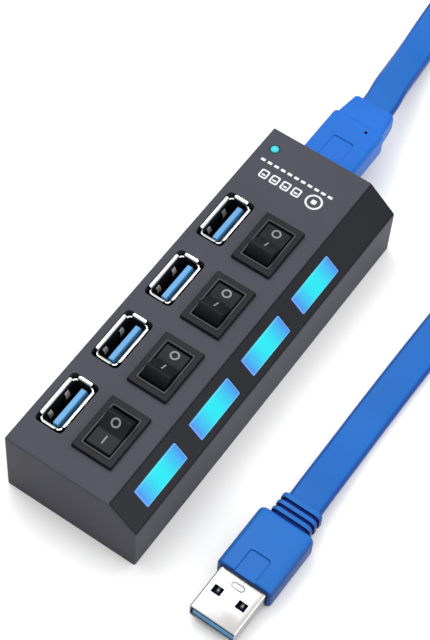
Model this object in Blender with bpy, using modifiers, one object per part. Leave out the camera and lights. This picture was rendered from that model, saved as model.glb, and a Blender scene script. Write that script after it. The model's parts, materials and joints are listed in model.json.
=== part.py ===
"""Four-port USB hub with a rocker switch and a lit window for each port.

The hub lies along X with its cable end at +X, rests on z = 0 and is centred on
X = Y = 0.  The ports stand in a row on the +Y side of the top face, the rocker
switches along its middle, and the lit windows in a dark strip on the bevelled
-Y edge.  A flat cable leaves the +X end, falls to the table, turns back and
ends in a USB plug that lies in front of the hub.  Numbered pieces count from
the cable end.
"""
import math

import bmesh
import bpy
from mathutils import Matrix, Vector

MM = 0.001

# Body
LENGTH = 106.0 * MM
WIDTH = 35.3 * MM
HEIGHT = 20.6 * MM
BEVEL_WIDTH = 7.5 * MM        # the long edge bevel, seen from above
BEVEL_DROP = 6.45 * MM        # the same bevel, seen from the end
WALL = 2.0 * MM
EDGE_ROUND = 0.35 * MM
FIT = 0.15 * MM               # gap between fixed neighbours
CLEAR = 0.3 * MM              # gap where pieces meet face to face

# Rows of ports, switches and windows
PITCH = 20.5 * MM
STATIONS = 4
PORT_X1 = 23.6 * MM           # centre of port 1, the one nearest the cable
PORT_Y = 11.85 * MM
SWITCH_X1 = 23.1 * MM
SWITCH_Y = -0.55 * MM
WINDOW_X1 = 22.8 * MM
WINDOW_DOWN = 0.5 * MM        # window centre, down the slope from the strip's middle

# USB-A receptacle
PORT_INSIDE = (12.5 * MM, 5.12 * MM)
PORT_LIPS = (14.3 * MM, 7.0 * MM)
PORT_HOLE = (14.8 * MM, 7.5 * MM)
PORT_SHEET = 0.3 * MM
PORT_PROUD = 0.3 * MM
TONGUE = (11.0 * MM, 1.84 * MM)
TONGUE_Y = -0.85 * MM         # the tongue is off centre, towards the switches
TONGUE_BELOW = 1.0 * MM       # depth of the tongue's tip under the top face
INSULATOR_BASE = 3.4 * MM

# Rocker switch
FLANGE = (15.4 * MM, 10.7 * MM)
FLANGE_PROUD = 1.0 * MM
SWITCH_BODY = (13.4 * MM, 8.8 * MM)
SWITCH_OPENING = (11.2 * MM, 7.0 * MM)
SWITCH_LIP = 0.8 * MM         # height of the opening's edge, over the wider well
SWITCH_WELL = (11.9 * MM, 7.0 * MM)
SWITCH_DEPTH = 9.6 * MM       # body below the top face
SWITCH_FLOOR = 1.2 * MM
HINGE_BELOW = 2.6 * MM        # hinge axis below the flange's top
ROCKER_WIDTH = 6.5 * MM
ROCKER_TILT = math.radians(15.5)
ROCKER_FACE = 4.35 * MM       # length of each half of the top
ROCKER_RISE = 2.65 * MM       # hinge to the valley between the halves
ROCKER_SIDE_END = math.radians(82.0)   # where the round end faces stop, from straight up
PIVOT_R = 0.7 * MM
STEM_END = 5.0 * MM
LEVER_BELOW = 5.6 * MM        # lever axis below the hinge axis
LEVER = (8.0 * MM, 3.0 * MM, 0.4 * MM)
LEVER_RATIO = -0.5

# Lit strip on the bevel
STRIP = (105.0 * MM, 9.0 * MM, 1.45 * MM)
WINDOW = (15.0 * MM, 4.85 * MM)
LIGHT_SLOT = (13.0 * MM, 3.2 * MM)
BEVEL_WALL = 3.4 * MM         # housing wall under the bevel, strip included

# Board and cover
COVER_THICK = 2.0 * MM
BOARD_BOTTOM = 3.0 * MM
BOARD_THICK = 1.6 * MM
BOARD_TOP = BOARD_BOTTOM + BOARD_THICK
BOSS_R = 3.0 * MM
BOSS_TOP = 10.0 * MM
BOSS_Y = 12.8 * MM
BOSS_XS = (39.5 * MM, -48.2 * MM)
SCREW_R = 0.9 * MM
SCREW_HEAD_R = 1.7 * MM
SCREW_LENGTH = 8.0 * MM
LIGHT_PIPE = (47.5 * MM, 13.85 * MM)
LIGHT_PIPE_R = 1.2 * MM

# Moulded cable outlet on the +X end
OUTLET_Y = 4.2 * MM
OUTLET_Z = 10.4 * MM
OUTLET_BODY = (14.6 * MM, 7.7 * MM)
OUTLET_LENGTH = 18.8 * MM     # outside the end wall, up to the shoulder
OUTLET_NECK = (11.8 * MM, 6.6 * MM)
OUTLET_NECK_LENGTH = 7.2 * MM
OUTLET_GRIP = (17.4 * MM, 9.6 * MM)

# Flat cable and its plug
CABLE_WIDTH = 8.8 * MM
CABLE_THICK = 2.9 * MM
CABLE_SPACING = 7.0 * MM
PLUG_TIP = Vector((-56.2 * MM, -40.35 * MM, 3.8 * MM))
PLUG_TURN = math.radians(-0.9)
PLUG_SHELL = (12.0 * MM, 4.5 * MM)
PLUG_SHELL_OUT = 11.6 * MM    # shell length in front of the overmould
PLUG_SHELL_IN = 4.0 * MM      # and inside it
PLUG_SHEET = 0.35 * MM
PLUG_BODY = (14.5 * MM, 7.6 * MM)
PLUG_BODY_LENGTH = 17.2 * MM
PLUG_NECK = (10.5 * MM, 6.0 * MM)
PLUG_NECK_LENGTH = 6.2 * MM
PLUG_WINDOW = (2.1 * MM, 2.4 * MM)
PLUG_WINDOW_AT = (6.5 * MM, 3.2 * MM)

OUTLET_END = Vector((LENGTH / 2 + OUTLET_LENGTH + OUTLET_NECK_LENGTH, OUTLET_Y, OUTLET_Z))


def clear_scene():
    for obj in list(bpy.data.objects):
        bpy.data.objects.remove(obj, do_unlink=True)
    for collection in list(bpy.data.collections):
        bpy.data.collections.remove(collection)


clear_scene()
PARTS = bpy.data.collections.new("usb_hub")
CUTTERS = bpy.data.collections.new("cutters")
bpy.context.scene.collection.children.link(PARTS)
bpy.context.scene.collection.children.link(CUTTERS)


# ---------------------------------------------------------------- materials

def material(name, colour, roughness, metallic=0.0):
    mat = bpy.data.materials.new(name)
    mat.use_nodes = True
    shader = mat.node_tree.nodes["Principled BSDF"]
    shader.inputs["Base Color"].default_value = (*colour, 1.0)
    shader.inputs["Roughness"].default_value = roughness
    shader.inputs["Metallic"].default_value = metallic
    return mat


CASE = material("case_plastic", (0.085, 0.083, 0.10), 0.45)
STRIP_DARK = material("strip_plastic", (0.027, 0.028, 0.032), 0.3)
GLOW = material("window_lens", (0.1, 0.65, 0.95), 0.25)
SWITCH_BLACK = material("switch_plastic", (0.02, 0.021, 0.024), 0.35)
CHROME = material("plated_steel", (0.8, 0.8, 0.82), 0.2, 1.0)
BRASS = material("contact_brass", (0.75, 0.55, 0.25), 0.3, 1.0)
PORT_BLUE = material("port_blue", (0.05, 0.25, 0.75), 0.4)
CABLE_BLUE = material("cable_blue", (0.04, 0.18, 0.72), 0.45)
BOARD_GREEN = material("board", (0.02, 0.16, 0.07), 0.4)
CHIP_BLACK = material("chip", (0.02, 0.02, 0.02), 0.5)
LED_WHITE = material("led", (0.8, 0.85, 0.8), 0.4)


# ------------------------------------------------------------- mesh helpers

def link(name, mesh, mat, collection=PARTS):
    obj = bpy.data.objects.new(name, mesh)
    collection.objects.link(obj)
    if mat is not None:
        mesh.materials.append(mat)
    if collection == CUTTERS:
        obj.hide_render = True
        obj.display_type = "WIRE"
    return obj


def mesh_from(bm, name):
    bmesh.ops.recalc_face_normals(bm, faces=bm.faces)
    mesh = bpy.data.meshes.new(name)
    bm.to_mesh(mesh)
    bm.free()
    return mesh


def box_mesh(name, size):
    bm = bmesh.new()
    bmesh.ops.create_cube(bm, size=1.0)
    bmesh.ops.scale(bm, verts=bm.verts, vec=size)
    return mesh_from(bm, name)


def box(name, size, centre, mat=None, collection=PARTS):
    obj = link(name, box_mesh(name, size), mat, collection)
    obj.location = centre
    return obj


def cylinder(name, radius, low, high, mat=None, collection=PARTS, sides=24):
    """A cylinder between two points on one line along X, Y or Z."""
    low = Vector(low)
    high = Vector(high)
    bm = bmesh.new()
    bmesh.ops.create_cone(bm, cap_ends=True, segments=sides, radius1=radius,
                          radius2=radius, depth=(high - low).length)
    obj = link(name, mesh_from(bm, name), mat, collection)
    obj.location = (low + high) / 2
    obj.rotation_euler = (high - low).to_track_quat("Z", "X").to_euler()
    return obj


def rounded_box(name, size, centre, radius, mat=None, collection=PARTS, segments=3):
    """A box whose four edges along Z are rounded."""
    obj = box(name, size, centre, mat, collection)
    bm = bmesh.new()
    bm.from_mesh(obj.data)
    upright = [e for e in bm.edges if abs(e.verts[0].co.z - e.verts[1].co.z) > size[2] / 2]
    bmesh.ops.bevel(bm, geom=upright, offset=radius, segments=segments,
                    profile=0.5, affect="EDGES")
    bm.to_mesh(obj.data)
    bm.free()
    return obj


def bevel(obj, width, segments=2, angle=30.0):
    mod = obj.modifiers.new("bevel", "BEVEL")
    mod.width = width
    mod.segments = segments
    mod.limit_method = "ANGLE"
    mod.angle_limit = math.radians(angle)
    return obj


def cut(obj, cutter, operation="DIFFERENCE"):
    mod = obj.modifiers.new("cut_" + cutter.name, "BOOLEAN")
    mod.operation = operation
    mod.solver = "EXACT"
    mod.object = cutter
    return obj


def join(obj, other):
    return cut(obj, other, "UNION")


def prism(name, outline, width, mat=None, collection=PARTS):
    """An outline of (x, z) points, filled and given a width along Y."""
    curve = bpy.data.curves.new(name, "CURVE")
    curve.dimensions = "2D"
    curve.fill_mode = "BOTH"
    curve.extrude = width / 2
    spline = curve.splines.new("POLY")
    spline.points.add(len(outline) - 1)
    for point, (x, z) in zip(spline.points, outline):
        point.co = (x, z, 0.0, 1.0)
    spline.use_cyclic_u = True
    flat = bpy.data.objects.new(name + "_outline", curve)
    CUTTERS.objects.link(flat)
    bpy.context.view_layer.update()
    mesh = bpy.data.meshes.new_from_object(flat.evaluated_get(bpy.context.evaluated_depsgraph_get()))
    bpy.data.objects.remove(flat)
    bm = bmesh.new()
    bm.from_mesh(mesh)
    bmesh.ops.remove_doubles(bm, verts=bm.verts, dist=0.001 * MM)
    bmesh.ops.rotate(bm, verts=bm.verts, matrix=Matrix.Rotation(math.pi / 2, 3, "X"))
    return link(name, mesh_from(bm, name), mat, collection)


def slice_off(obj, point, outward):
    """Cut away everything on the outward side of a plane and close the cut."""
    bm = bmesh.new()
    bm.from_mesh(obj.data)
    bmesh.ops.bisect_plane(bm, geom=bm.verts[:] + bm.edges[:] + bm.faces[:],
                           plane_co=point, plane_no=outward, clear_outer=True)
    bmesh.ops.holes_fill(bm, edges=[e for e in bm.edges if e.is_boundary])
    bmesh.ops.recalc_face_normals(bm, faces=bm.faces)
    bm.to_mesh(obj.data)
    bm.free()


def smooth(obj):
    obj.data.shade_smooth()
    obj.data.set_sharp_from_angle(angle=math.radians(35))
    return obj


# ------------------------------------------------------------- body layout

SLOPE = math.atan2(BEVEL_DROP, BEVEL_WIDTH)
SLOPE_OUT = Vector((0.0, -math.sin(SLOPE), math.cos(SLOPE)))
SLOPE_UP = Vector((0.0, math.cos(SLOPE), math.sin(SLOPE)))
SLOPE_MID = Vector((0.0, -WIDTH / 2 + BEVEL_WIDTH / 2, HEIGHT - BEVEL_DROP / 2))


def station(first_x, index):
    return first_x - index * PITCH


def on_slope(x, up=0.0, out=0.0):
    """A point on the bevel: up the slope from its middle, and out of its face."""
    return SLOPE_MID + SLOPE_UP * up + SLOPE_OUT * out + Vector((x, 0.0, 0.0))


def slope_box(name, size, x, up, out, mat=None, collection=PARTS):
    obj = box(name, size, on_slope(x, up, out), mat, collection)
    obj.rotation_euler = (SLOPE, 0.0, 0.0)
    return obj


# ------------------------------------------------------------------ housing

def housing_block():
    block = box("top_housing", (LENGTH, WIDTH, HEIGHT), (0, 0, 0), CASE)
    block.data.transform(Matrix.Translation((0, 0, HEIGHT / 2)))
    slice_off(block, on_slope(0.0), SLOPE_OUT)
    bm = bmesh.new()
    bm.from_mesh(block.data)
    rounded = [e for e in bm.edges if max(v.co.z for v in e.verts) > HEIGHT / 4]
    bmesh.ops.bevel(bm, geom=rounded, offset=EDGE_ROUND, segments=2, profile=0.5, affect="EDGES")
    bmesh.ops.recalc_face_normals(bm, faces=bm.faces)
    bm.to_mesh(block.data)
    bm.free()
    return block


def housing_cavity():
    size = (LENGTH - 2 * WALL, WIDTH - 2 * WALL, HEIGHT)
    cavity = box("housing_cavity", size, (0, 0, 0), collection=CUTTERS)
    cavity.data.transform(Matrix.Translation((0, 0, HEIGHT / 2 - WALL)))
    slice_off(cavity, on_slope(0.0, out=-BEVEL_WALL), SLOPE_OUT)
    return cavity


def boss_places():
    return [(x, y) for x in BOSS_XS for y in (BOSS_Y, -BOSS_Y)]


def add_bosses(block):
    for number, (x, y) in enumerate(boss_places(), 1):
        boss = cylinder(f"boss_{number}", BOSS_R, (x, y, COVER_THICK + FIT),
                        (x, y, BOSS_TOP), collection=CUTTERS)
        join(block, boss)
    for number, (x, y) in enumerate(boss_places(), 1):
        bore = cylinder(f"boss_bore_{number}", SCREW_R + CLEAR, (x, y, 0.0),
                        (x, y, BOSS_TOP - 1.0 * MM), collection=CUTTERS, sides=16)
        cut(block, bore)


def cut_top_openings(block):
    for i in range(STATIONS):
        hole = rounded_box(f"port_hole_{i + 1}", (*PORT_HOLE, 3 * WALL),
                           (station(PORT_X1, i), PORT_Y, HEIGHT), 1.1 * MM, collection=CUTTERS)
        cut(block, hole)
        body = (SWITCH_BODY[0] + 2 * FIT, SWITCH_BODY[1] + 2 * FIT, 3 * WALL)
        cut(block, box(f"switch_hole_{i + 1}", body, (station(SWITCH_X1, i), SWITCH_Y, HEIGHT),
                       collection=CUTTERS))
    x, y = LIGHT_PIPE
    cut(block, cylinder("light_pipe_hole", LIGHT_PIPE_R + FIT, (x, y, HEIGHT - 2 * WALL),
                        (x, y, HEIGHT + WALL), collection=CUTTERS))


def cut_strip_seat(block):
    depth = STRIP[2] + FIT
    size = (STRIP[0] + 2 * FIT, STRIP[1] + 2 * FIT, 2 * depth)
    cut(block, slope_box("strip_seat", size, 0.0, 0.0, 0.0, collection=CUTTERS))
    for i in range(STATIONS):
        cut(block, slope_box(f"light_slot_{i + 1}", (*LIGHT_SLOT, 4 * BEVEL_WALL),
                             station(WINDOW_X1, i), -WINDOW_DOWN, 0.0, collection=CUTTERS))


def cut_cable_opening(block):
    size = (4 * WALL, OUTLET_BODY[0] + 2 * FIT, OUTLET_BODY[1] + 2 * FIT)
    cut(block, box("cable_opening", size, (LENGTH / 2, OUTLET_Y, OUTLET_Z), collection=CUTTERS))


def make_housing():
    block = housing_block()
    cut(block, housing_cavity())
    add_bosses(block)
    cut_strip_seat(block)
    cut_top_openings(block)
    cut_cable_opening(block)


def make_cover():
    size = (LENGTH - 2 * WALL - 2 * CLEAR, WIDTH - 2 * WALL - 2 * CLEAR, COVER_THICK)
    cover = box("bottom_cover", size, (0, 0, COVER_THICK / 2), CASE)
    for number, (x, y) in enumerate(boss_places(), 1):
        bore = cylinder(f"cover_bore_{number}", SCREW_R + CLEAR, (x, y, -COVER_THICK),
                        (x, y, 2 * COVER_THICK), collection=CUTTERS, sides=16)
        seat = cylinder(f"cover_seat_{number}", SCREW_HEAD_R + FIT, (x, y, -COVER_THICK),
                        (x, y, 0.6 * COVER_THICK), collection=CUTTERS)
        cut(cut(cover, bore), seat)


def make_screws():
    """Countersunk heads just under the cover's face, shanks up into the bosses."""
    head_low = 0.2 * COVER_THICK
    for number, (x, y) in enumerate(boss_places(), 1):
        head_high = 0.6 * COVER_THICK - FIT
        screw = cylinder(f"cover_screw_{number}", SCREW_HEAD_R, (x, y, head_low),
                         (x, y, head_high), CHROME, sides=20)
        shank = cylinder(f"screw_shank_{number}", SCREW_R, (x, y, head_low + FIT),
                         (x, y, head_low + SCREW_LENGTH), collection=CUTTERS, sides=12)
        slot = 0.3 * MM
        join(screw, shank)
        for turn in (0.0, math.pi / 2):
            recess = box(f"screw_slot_{number}_{round(math.degrees(turn))}",
                         (2 * MM, 0.4 * MM, 2 * slot), (x, y, head_low), collection=CUTTERS)
            recess.rotation_euler = (0.0, 0.0, turn)
            cut(screw, recess)


# ---------------------------------------------------------------- lit strip

def make_strip():
    strip = slope_box("light_strip", STRIP, 0.0, 0.0, -STRIP[2] / 2, STRIP_DARK)
    for i in range(STATIONS):
        x = station(WINDOW_X1, i)
        hole = (WINDOW[0] + 2 * FIT, WINDOW[1] + 2 * FIT, 4 * STRIP[2])
        cut(strip, slope_box(f"window_hole_{i + 1}", hole, x, -WINDOW_DOWN, 0.0,
                             collection=CUTTERS))
        lens = slope_box(f"led_window_{i + 1}", (*WINDOW, STRIP[2]), x, -WINDOW_DOWN,
                         -STRIP[2] / 2, GLOW)
        bevel(lens, 0.2 * MM, segments=1)
    for i in range(STATIONS):
        chip = (3.4 * MM, 2.8 * MM, 1.9 * MM)
        centre = (station(WINDOW_X1, i), -11.2 * MM, BOARD_TOP + FIT + chip[2] / 2)
        bevel(box(f"window_led_{i + 1}", chip, centre, LED_WHITE), 0.2 * MM, segments=1)


def make_status_light():
    x, y = LIGHT_PIPE
    led_top = BOARD_TOP + FIT + 1.6 * MM
    smooth(cylinder("status_light_pipe", LIGHT_PIPE_R, (x, y, led_top + CLEAR),
                    (x, y, HEIGHT + 0.1 * MM), GLOW))
    box("status_led", (2.0 * MM, 1.6 * MM, 1.6 * MM), (x, y, led_top - 0.8 * MM), LED_WHITE)


# --------------------------------------------------------------------- board

def make_board():
    size = (LENGTH - 2 * WALL - 2 * CLEAR, WIDTH - 2 * WALL - 2 * CLEAR, BOARD_THICK)
    board = box("circuit_board", size, (0, 0, BOARD_BOTTOM + BOARD_THICK / 2), BOARD_GREEN)
    reach = 2 * (BOSS_R + CLEAR)
    for number, (x, y) in enumerate(boss_places(), 1):
        wide = 2 * reach if x < 0 else reach
        centre_x = x - (wide - reach) / 2
        notch = box(f"board_notch_{number}", (wide, 2 * reach, HEIGHT),
                    (centre_x, math.copysign(abs(y) + reach / 2, y), HEIGHT / 2),
                    collection=CUTTERS)
        cut(board, notch)
    make_chips()


def make_chips():
    """Hub controller, its crystal and the supply capacitor near the cable end."""
    top = BOARD_TOP + FIT
    chip = box("hub_controller", (7.0 * MM, 7.0 * MM, 1.0 * MM), (40 * MM, -2 * MM, top + 0.5 * MM),
               CHIP_BLACK)
    bevel(chip, 0.15 * MM, segments=1)
    crystal = rounded_box("clock_crystal", (4.6 * MM, 10.2 * MM, 3.4 * MM),
                          (33.6 * MM, -10.5 * MM, top + 1.7 * MM), 2.0 * MM, CHROME)
    bevel(crystal, 0.3 * MM, segments=1, angle=60.0)
    smooth(cylinder("supply_capacitor", 2.5 * MM, (45.0 * MM, -10.0 * MM, top),
                    (45.0 * MM, -10.0 * MM, top + 5.4 * MM), CHROME))


# --------------------------------------------------------------------- ports

def shell_sheet(inside, low, high, lip):
    """Mid-surface of a receptacle: a rounded tube whose four sides flare at the top."""
    half_x = (inside[0] + PORT_SHEET) / 2
    half_y = (inside[1] + PORT_SHEET) / 2
    corner = 0.7 * MM
    bm = bmesh.new()
    centres = ((half_x - corner, half_y - corner, 0), (corner - half_x, half_y - corner, 90),
               (corner - half_x, corner - half_y, 180), (half_x - corner, corner - half_y, 270))
    ring = []
    for cx, cy, start in centres:
        for step in (0, 45, 90):
            angle = math.radians(start + step)
            ring.append((cx + corner * math.cos(angle), cy + corner * math.sin(angle)))
    bottom = [bm.verts.new((x, y, low)) for x, y in ring]
    top = [bm.verts.new((x, y, high)) for x, y in ring]
    count = len(ring)
    for i in range(count):
        j = (i + 1) % count
        bm.faces.new((bottom[i], bottom[j], top[j], top[i]))
    for side in range(4):
        first = top[3 * side + 2]
        second = top[(3 * side + 3) % count]
        outward = Vector((0, 0, 0))
        outward[(side + 1) % 2] = (1, -1, -1, 1)[side]
        edge = (first, second)
        for out, rise in lip:
            lifted = [bm.verts.new((v.co + outward * out).xy[:] + (high + rise,)) for v in (first, second)]
            bm.faces.new((edge[0], edge[1], lifted[1], lifted[0]))
            edge = lifted
    return bm


def make_port(index):
    x = station(PORT_X1, index)
    low = BOARD_TOP + FIT
    flare = (PORT_LIPS[0] - PORT_INSIDE[0] - PORT_SHEET) / 2
    rise = 0.55 * MM
    high = HEIGHT + PORT_PROUD - rise - PORT_SHEET / 2
    lip = ((0.25 * flare, 0.62 * rise), (0.62 * flare, 0.95 * rise), (flare, rise))
    bm = shell_sheet(PORT_INSIDE, low, high, lip)
    shell = link(f"usb_port_shell_{index + 1}", mesh_from(bm, "port_shell"), CHROME)
    shell.location = (x, PORT_Y, 0.0)
    sheet = shell.modifiers.new("sheet", "SOLIDIFY")
    sheet.thickness = PORT_SHEET
    sheet.offset = 0.0
    sheet.use_even_offset = True
    make_port_insulator(index, x, low)


def make_port_insulator(index, x, low):
    """Blue moulding: a base block in the shell's foot and the tongue that stands on it."""
    base_size = (PORT_INSIDE[0] - 2 * FIT, PORT_INSIDE[1] - 2 * FIT, INSULATOR_BASE)
    base = rounded_box(f"usb_port_insulator_{index + 1}", base_size,
                       (x, PORT_Y, low + INSULATOR_BASE / 2), 0.6 * MM, PORT_BLUE, segments=2)
    tip = HEIGHT - TONGUE_BELOW
    root = low + INSULATOR_BASE - FIT
    tongue = box(f"tongue_{index + 1}", (*TONGUE, tip - root),
                 (x, PORT_Y + TONGUE_Y, (tip + root) / 2), collection=CUTTERS)
    join(base, tongue)


# ------------------------------------------------------------------ switches

HINGE_Z = HEIGHT + FLANGE_PROUD - HINGE_BELOW
LEVER_Z = HINGE_Z - LEVER_BELOW
SWITCH_BASE = HEIGHT - SWITCH_DEPTH
FLOOR_TOP = SWITCH_BASE + SWITCH_FLOOR


def rest_tilt(index):
    """Switches 1 to 3 lie with their far half pressed, the last with its near half."""
    return -ROCKER_TILT if index == STATIONS - 1 else ROCKER_TILT


def make_switch_frame(index, x):
    flange_size = (*FLANGE, FLANGE_PROUD - FIT)
    frame = box(f"switch_frame_{index + 1}", flange_size, (0, 0, 0), SWITCH_BLACK)
    frame.location = (x, SWITCH_Y, HEIGHT + (FLANGE_PROUD + FIT) / 2)
    bevel(frame, 0.3 * MM, segments=1)
    body_high = HEIGHT + FLANGE_PROUD / 2
    body = box(f"switch_body_{index + 1}", (*SWITCH_BODY, body_high - SWITCH_BASE),
               (x, SWITCH_Y, (body_high + SWITCH_BASE) / 2), collection=CUTTERS)
    opening = box(f"switch_opening_{index + 1}", (*SWITCH_OPENING, SWITCH_DEPTH),
                  (x, SWITCH_Y, HEIGHT), collection=CUTTERS)
    well_top = HEIGHT + FLANGE_PROUD - SWITCH_LIP
    well = box(f"switch_well_{index + 1}", (*SWITCH_WELL, well_top - FLOOR_TOP),
               (x, SWITCH_Y, (well_top + FLOOR_TOP) / 2), collection=CUTTERS)
    pivots = cylinder(f"pivot_holes_{index + 1}", PIVOT_R + 0.2 * MM,
                      (x, SWITCH_Y - SWITCH_BODY[1], HINGE_Z), (x, SWITCH_Y + SWITCH_BODY[1], HINGE_Z),
                      collection=CUTTERS, sides=16)
    cut(cut(cut(join(frame, body), opening), well), pivots)
    for number, offset in enumerate(terminal_offsets(), 1):
        hole = box(f"terminal_hole_{index + 1}_{number}", (1.3 * MM, 3.5 * MM, 4 * SWITCH_FLOOR),
                   (x + offset, SWITCH_Y, FLOOR_TOP), collection=CUTTERS)
        cut(frame, hole)


def terminal_offsets():
    return (0.0, 4.0 * MM)


def rocker_outline():
    """Half the outline from the valley: flat half, round end face, underside, stem."""
    crest = (ROCKER_FACE * math.cos(ROCKER_TILT), ROCKER_RISE + ROCKER_FACE * math.sin(ROCKER_TILT))
    radius = math.hypot(*crest)
    start = math.atan2(*crest)
    steps = 4
    angles = [start + (ROCKER_SIDE_END - start) * i / steps for i in range(steps + 1)]
    right = [(radius * math.sin(a), radius * math.cos(a)) for a in angles]
    right += [(3.3 * MM, -2.6 * MM), (0.7 * MM, -2.9 * MM), (0.7 * MM, -STEM_END)]
    left = [(-px, pz) for px, pz in reversed(right)]
    return [(0.0, ROCKER_RISE)] + right + left


def make_rocker(index, x):
    """Rocker with a valley across its top, a stem below and a pivot stub on each side."""
    rocker = prism(f"switch_rocker_{index + 1}", rocker_outline(), ROCKER_WIDTH, SWITCH_BLACK)
    rocker.location = (x, SWITCH_Y, HINGE_Z)
    rocker.rotation_euler = (0.0, rest_tilt(index), 0.0)
    bevel(rocker, 0.2 * MM, segments=1, angle=50.0)
    reach = SWITCH_BODY[1] / 2 - 0.2 * MM
    stubs = cylinder(f"pivot_stubs_{index + 1}", PIVOT_R, (x, SWITCH_Y - reach, HINGE_Z),
                     (x, SWITCH_Y + reach, HINGE_Z), collection=CUTTERS, sides=16)
    join(rocker, stubs)


def make_lever(index, x):
    """Contact lever that the rocker's stem tips over, the other way from the rocker."""
    lever = prism(f"contact_lever_{index + 1}", lever_outline(), LEVER[1], BRASS)
    lever.location = (x, SWITCH_Y, LEVER_Z)
    lever.rotation_euler = (0.0, LEVER_RATIO * rest_tilt(index), 0.0)


def lever_outline():
    half = LEVER[0] / 2
    thick = LEVER[2]
    top = [(-half, 0.35 * MM), (-half + 0.9 * MM, 0.0), (half - 0.9 * MM, 0.0), (half, 0.35 * MM)]
    return [(px, pz - thick / 2) for px, pz in top] + [(px, pz + thick / 2) for px, pz in reversed(top)]


def make_terminals(index, x):
    """Middle terminal under the lever's pivot and a second one under its far arm."""
    low = BOARD_TOP + FIT
    highs = (LEVER_Z - LEVER[2] / 2 - CLEAR, FLOOR_TOP + 0.15 * MM)
    for name, offset, high in zip(("pivot_terminal", "load_terminal"), terminal_offsets(), highs):
        box(f"{name}_{index + 1}", (0.8 * MM, 3.0 * MM, high - low),
            (x + offset, SWITCH_Y, (high + low) / 2), BRASS)


def make_switch(index):
    x = station(SWITCH_X1, index)
    make_switch_frame(index, x)
    make_rocker(index, x)
    make_lever(index, x)
    make_terminals(index, x)


# -------------------------------------------------------------- cable outlet

def lengthwise(name, low_x, high_x, size, rounding, mat=None, collection=PARTS):
    """A bar along X about the outlet's axis, its long edges rounded."""
    obj = rounded_box(name, (*size, high_x - low_x), (0, 0, 0), rounding, mat, collection)
    turn = Matrix.Rotation(math.pi / 2, 4, "Y") @ Matrix.Rotation(math.pi / 2, 4, "Z")
    shift = Matrix.Translation(((low_x + high_x) / 2, 0, 0))
    obj.data.transform(shift @ turn)
    return obj


def make_outlet():
    grip_end = LENGTH / 2 - WALL - CLEAR
    shoulder = LENGTH / 2 + OUTLET_LENGTH
    outlet = lengthwise("cable_outlet", grip_end - 1.0 * MM, shoulder, OUTLET_BODY, 1.2 * MM, CABLE_BLUE)
    grip = lengthwise("outlet_grip", grip_end - 1.8 * MM, grip_end, OUTLET_GRIP, 0.8 * MM,
                      collection=CUTTERS)
    neck = lengthwise("outlet_neck", shoulder - 1.0 * MM, OUTLET_END.x, OUTLET_NECK, 1.4 * MM,
                      collection=CUTTERS)
    for obj in (outlet, grip, neck):
        obj.location = (0.0, OUTLET_Y, OUTLET_Z)
    bevel(outlet, 0.6 * MM, segments=2, angle=60.0)
    join(join(outlet, grip), neck)


# ---------------------------------------------------------------------- plug

PLUG_FRAME = Matrix.Translation(PLUG_TIP) @ Matrix.Rotation(PLUG_TURN, 4, "Z")
PLUG_FACE = PLUG_SHELL_OUT + CLEAR
PLUG_NECK_END = PLUG_FACE + PLUG_BODY_LENGTH + PLUG_NECK_LENGTH


def place_on_plug(obj):
    obj.matrix_world = PLUG_FRAME
    return obj


def make_plug():
    """Plug along its own +X from the shell's mouth to the end of the cable neck."""
    shoulder = PLUG_FACE + PLUG_BODY_LENGTH
    body = lengthwise("plug_overmould", PLUG_FACE, shoulder, PLUG_BODY, 1.8 * MM, CABLE_BLUE)
    neck = lengthwise("plug_neck", shoulder - 1.0 * MM, PLUG_NECK_END, PLUG_NECK, 1.4 * MM,
                      collection=CUTTERS)
    pocket_size = (PLUG_SHELL[0] + 2 * FIT, PLUG_SHELL[1] + 2 * FIT)
    pocket = lengthwise("plug_pocket", PLUG_FACE - PLUG_SHELL_IN, PLUG_FACE + PLUG_SHELL_IN,
                        pocket_size, 0.5 * MM, collection=CUTTERS)
    bevel(body, 0.7 * MM, segments=2, angle=60.0)
    cut(join(body, neck), pocket)
    shell = lengthwise("plug_shell", 0.0, PLUG_FACE + PLUG_SHELL_IN - CLEAR, PLUG_SHELL,
                       0.5 * MM, CHROME)
    hollow_size = (PLUG_SHELL[0] - 2 * PLUG_SHEET, PLUG_SHELL[1] - 2 * PLUG_SHEET)
    hollow = lengthwise("plug_hollow", -1.0 * MM, PLUG_FACE + PLUG_SHELL_IN - CLEAR - PLUG_SHEET,
                        hollow_size, 0.3 * MM, collection=CUTTERS)
    cut(shell, hollow)
    for side in (1, -1):
        window = box(f"plug_window_{(3 - side) // 2}", (*PLUG_WINDOW, PLUG_SHELL[1]),
                     (0, 0, 0), collection=CUTTERS)
        shift = Matrix.Translation((PLUG_WINDOW_AT[0], side * PLUG_WINDOW_AT[1], PLUG_SHELL[1] / 2))
        window.data.transform(shift)
        cut(shell, window)
        place_on_plug(window)
    insulator = plug_insulator(hollow_size)
    for obj in (body, neck, pocket, shell, hollow, insulator):
        place_on_plug(obj)


def plug_insulator(hollow_size):
    """Blue plate on the shell's lower wall; the upper half stays open for the tongue."""
    size = (12.0 * MM, hollow_size[0] - 2 * FIT, 1.9 * MM)
    plate = box("plug_insulator", size, (0, 0, 0), PORT_BLUE)
    low = -hollow_size[1] / 2 + FIT
    plate.data.transform(Matrix.Translation((0.5 * MM + size[0] / 2, 0, low + size[2] / 2)))
    return plate


# --------------------------------------------------------------------- cable

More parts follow.
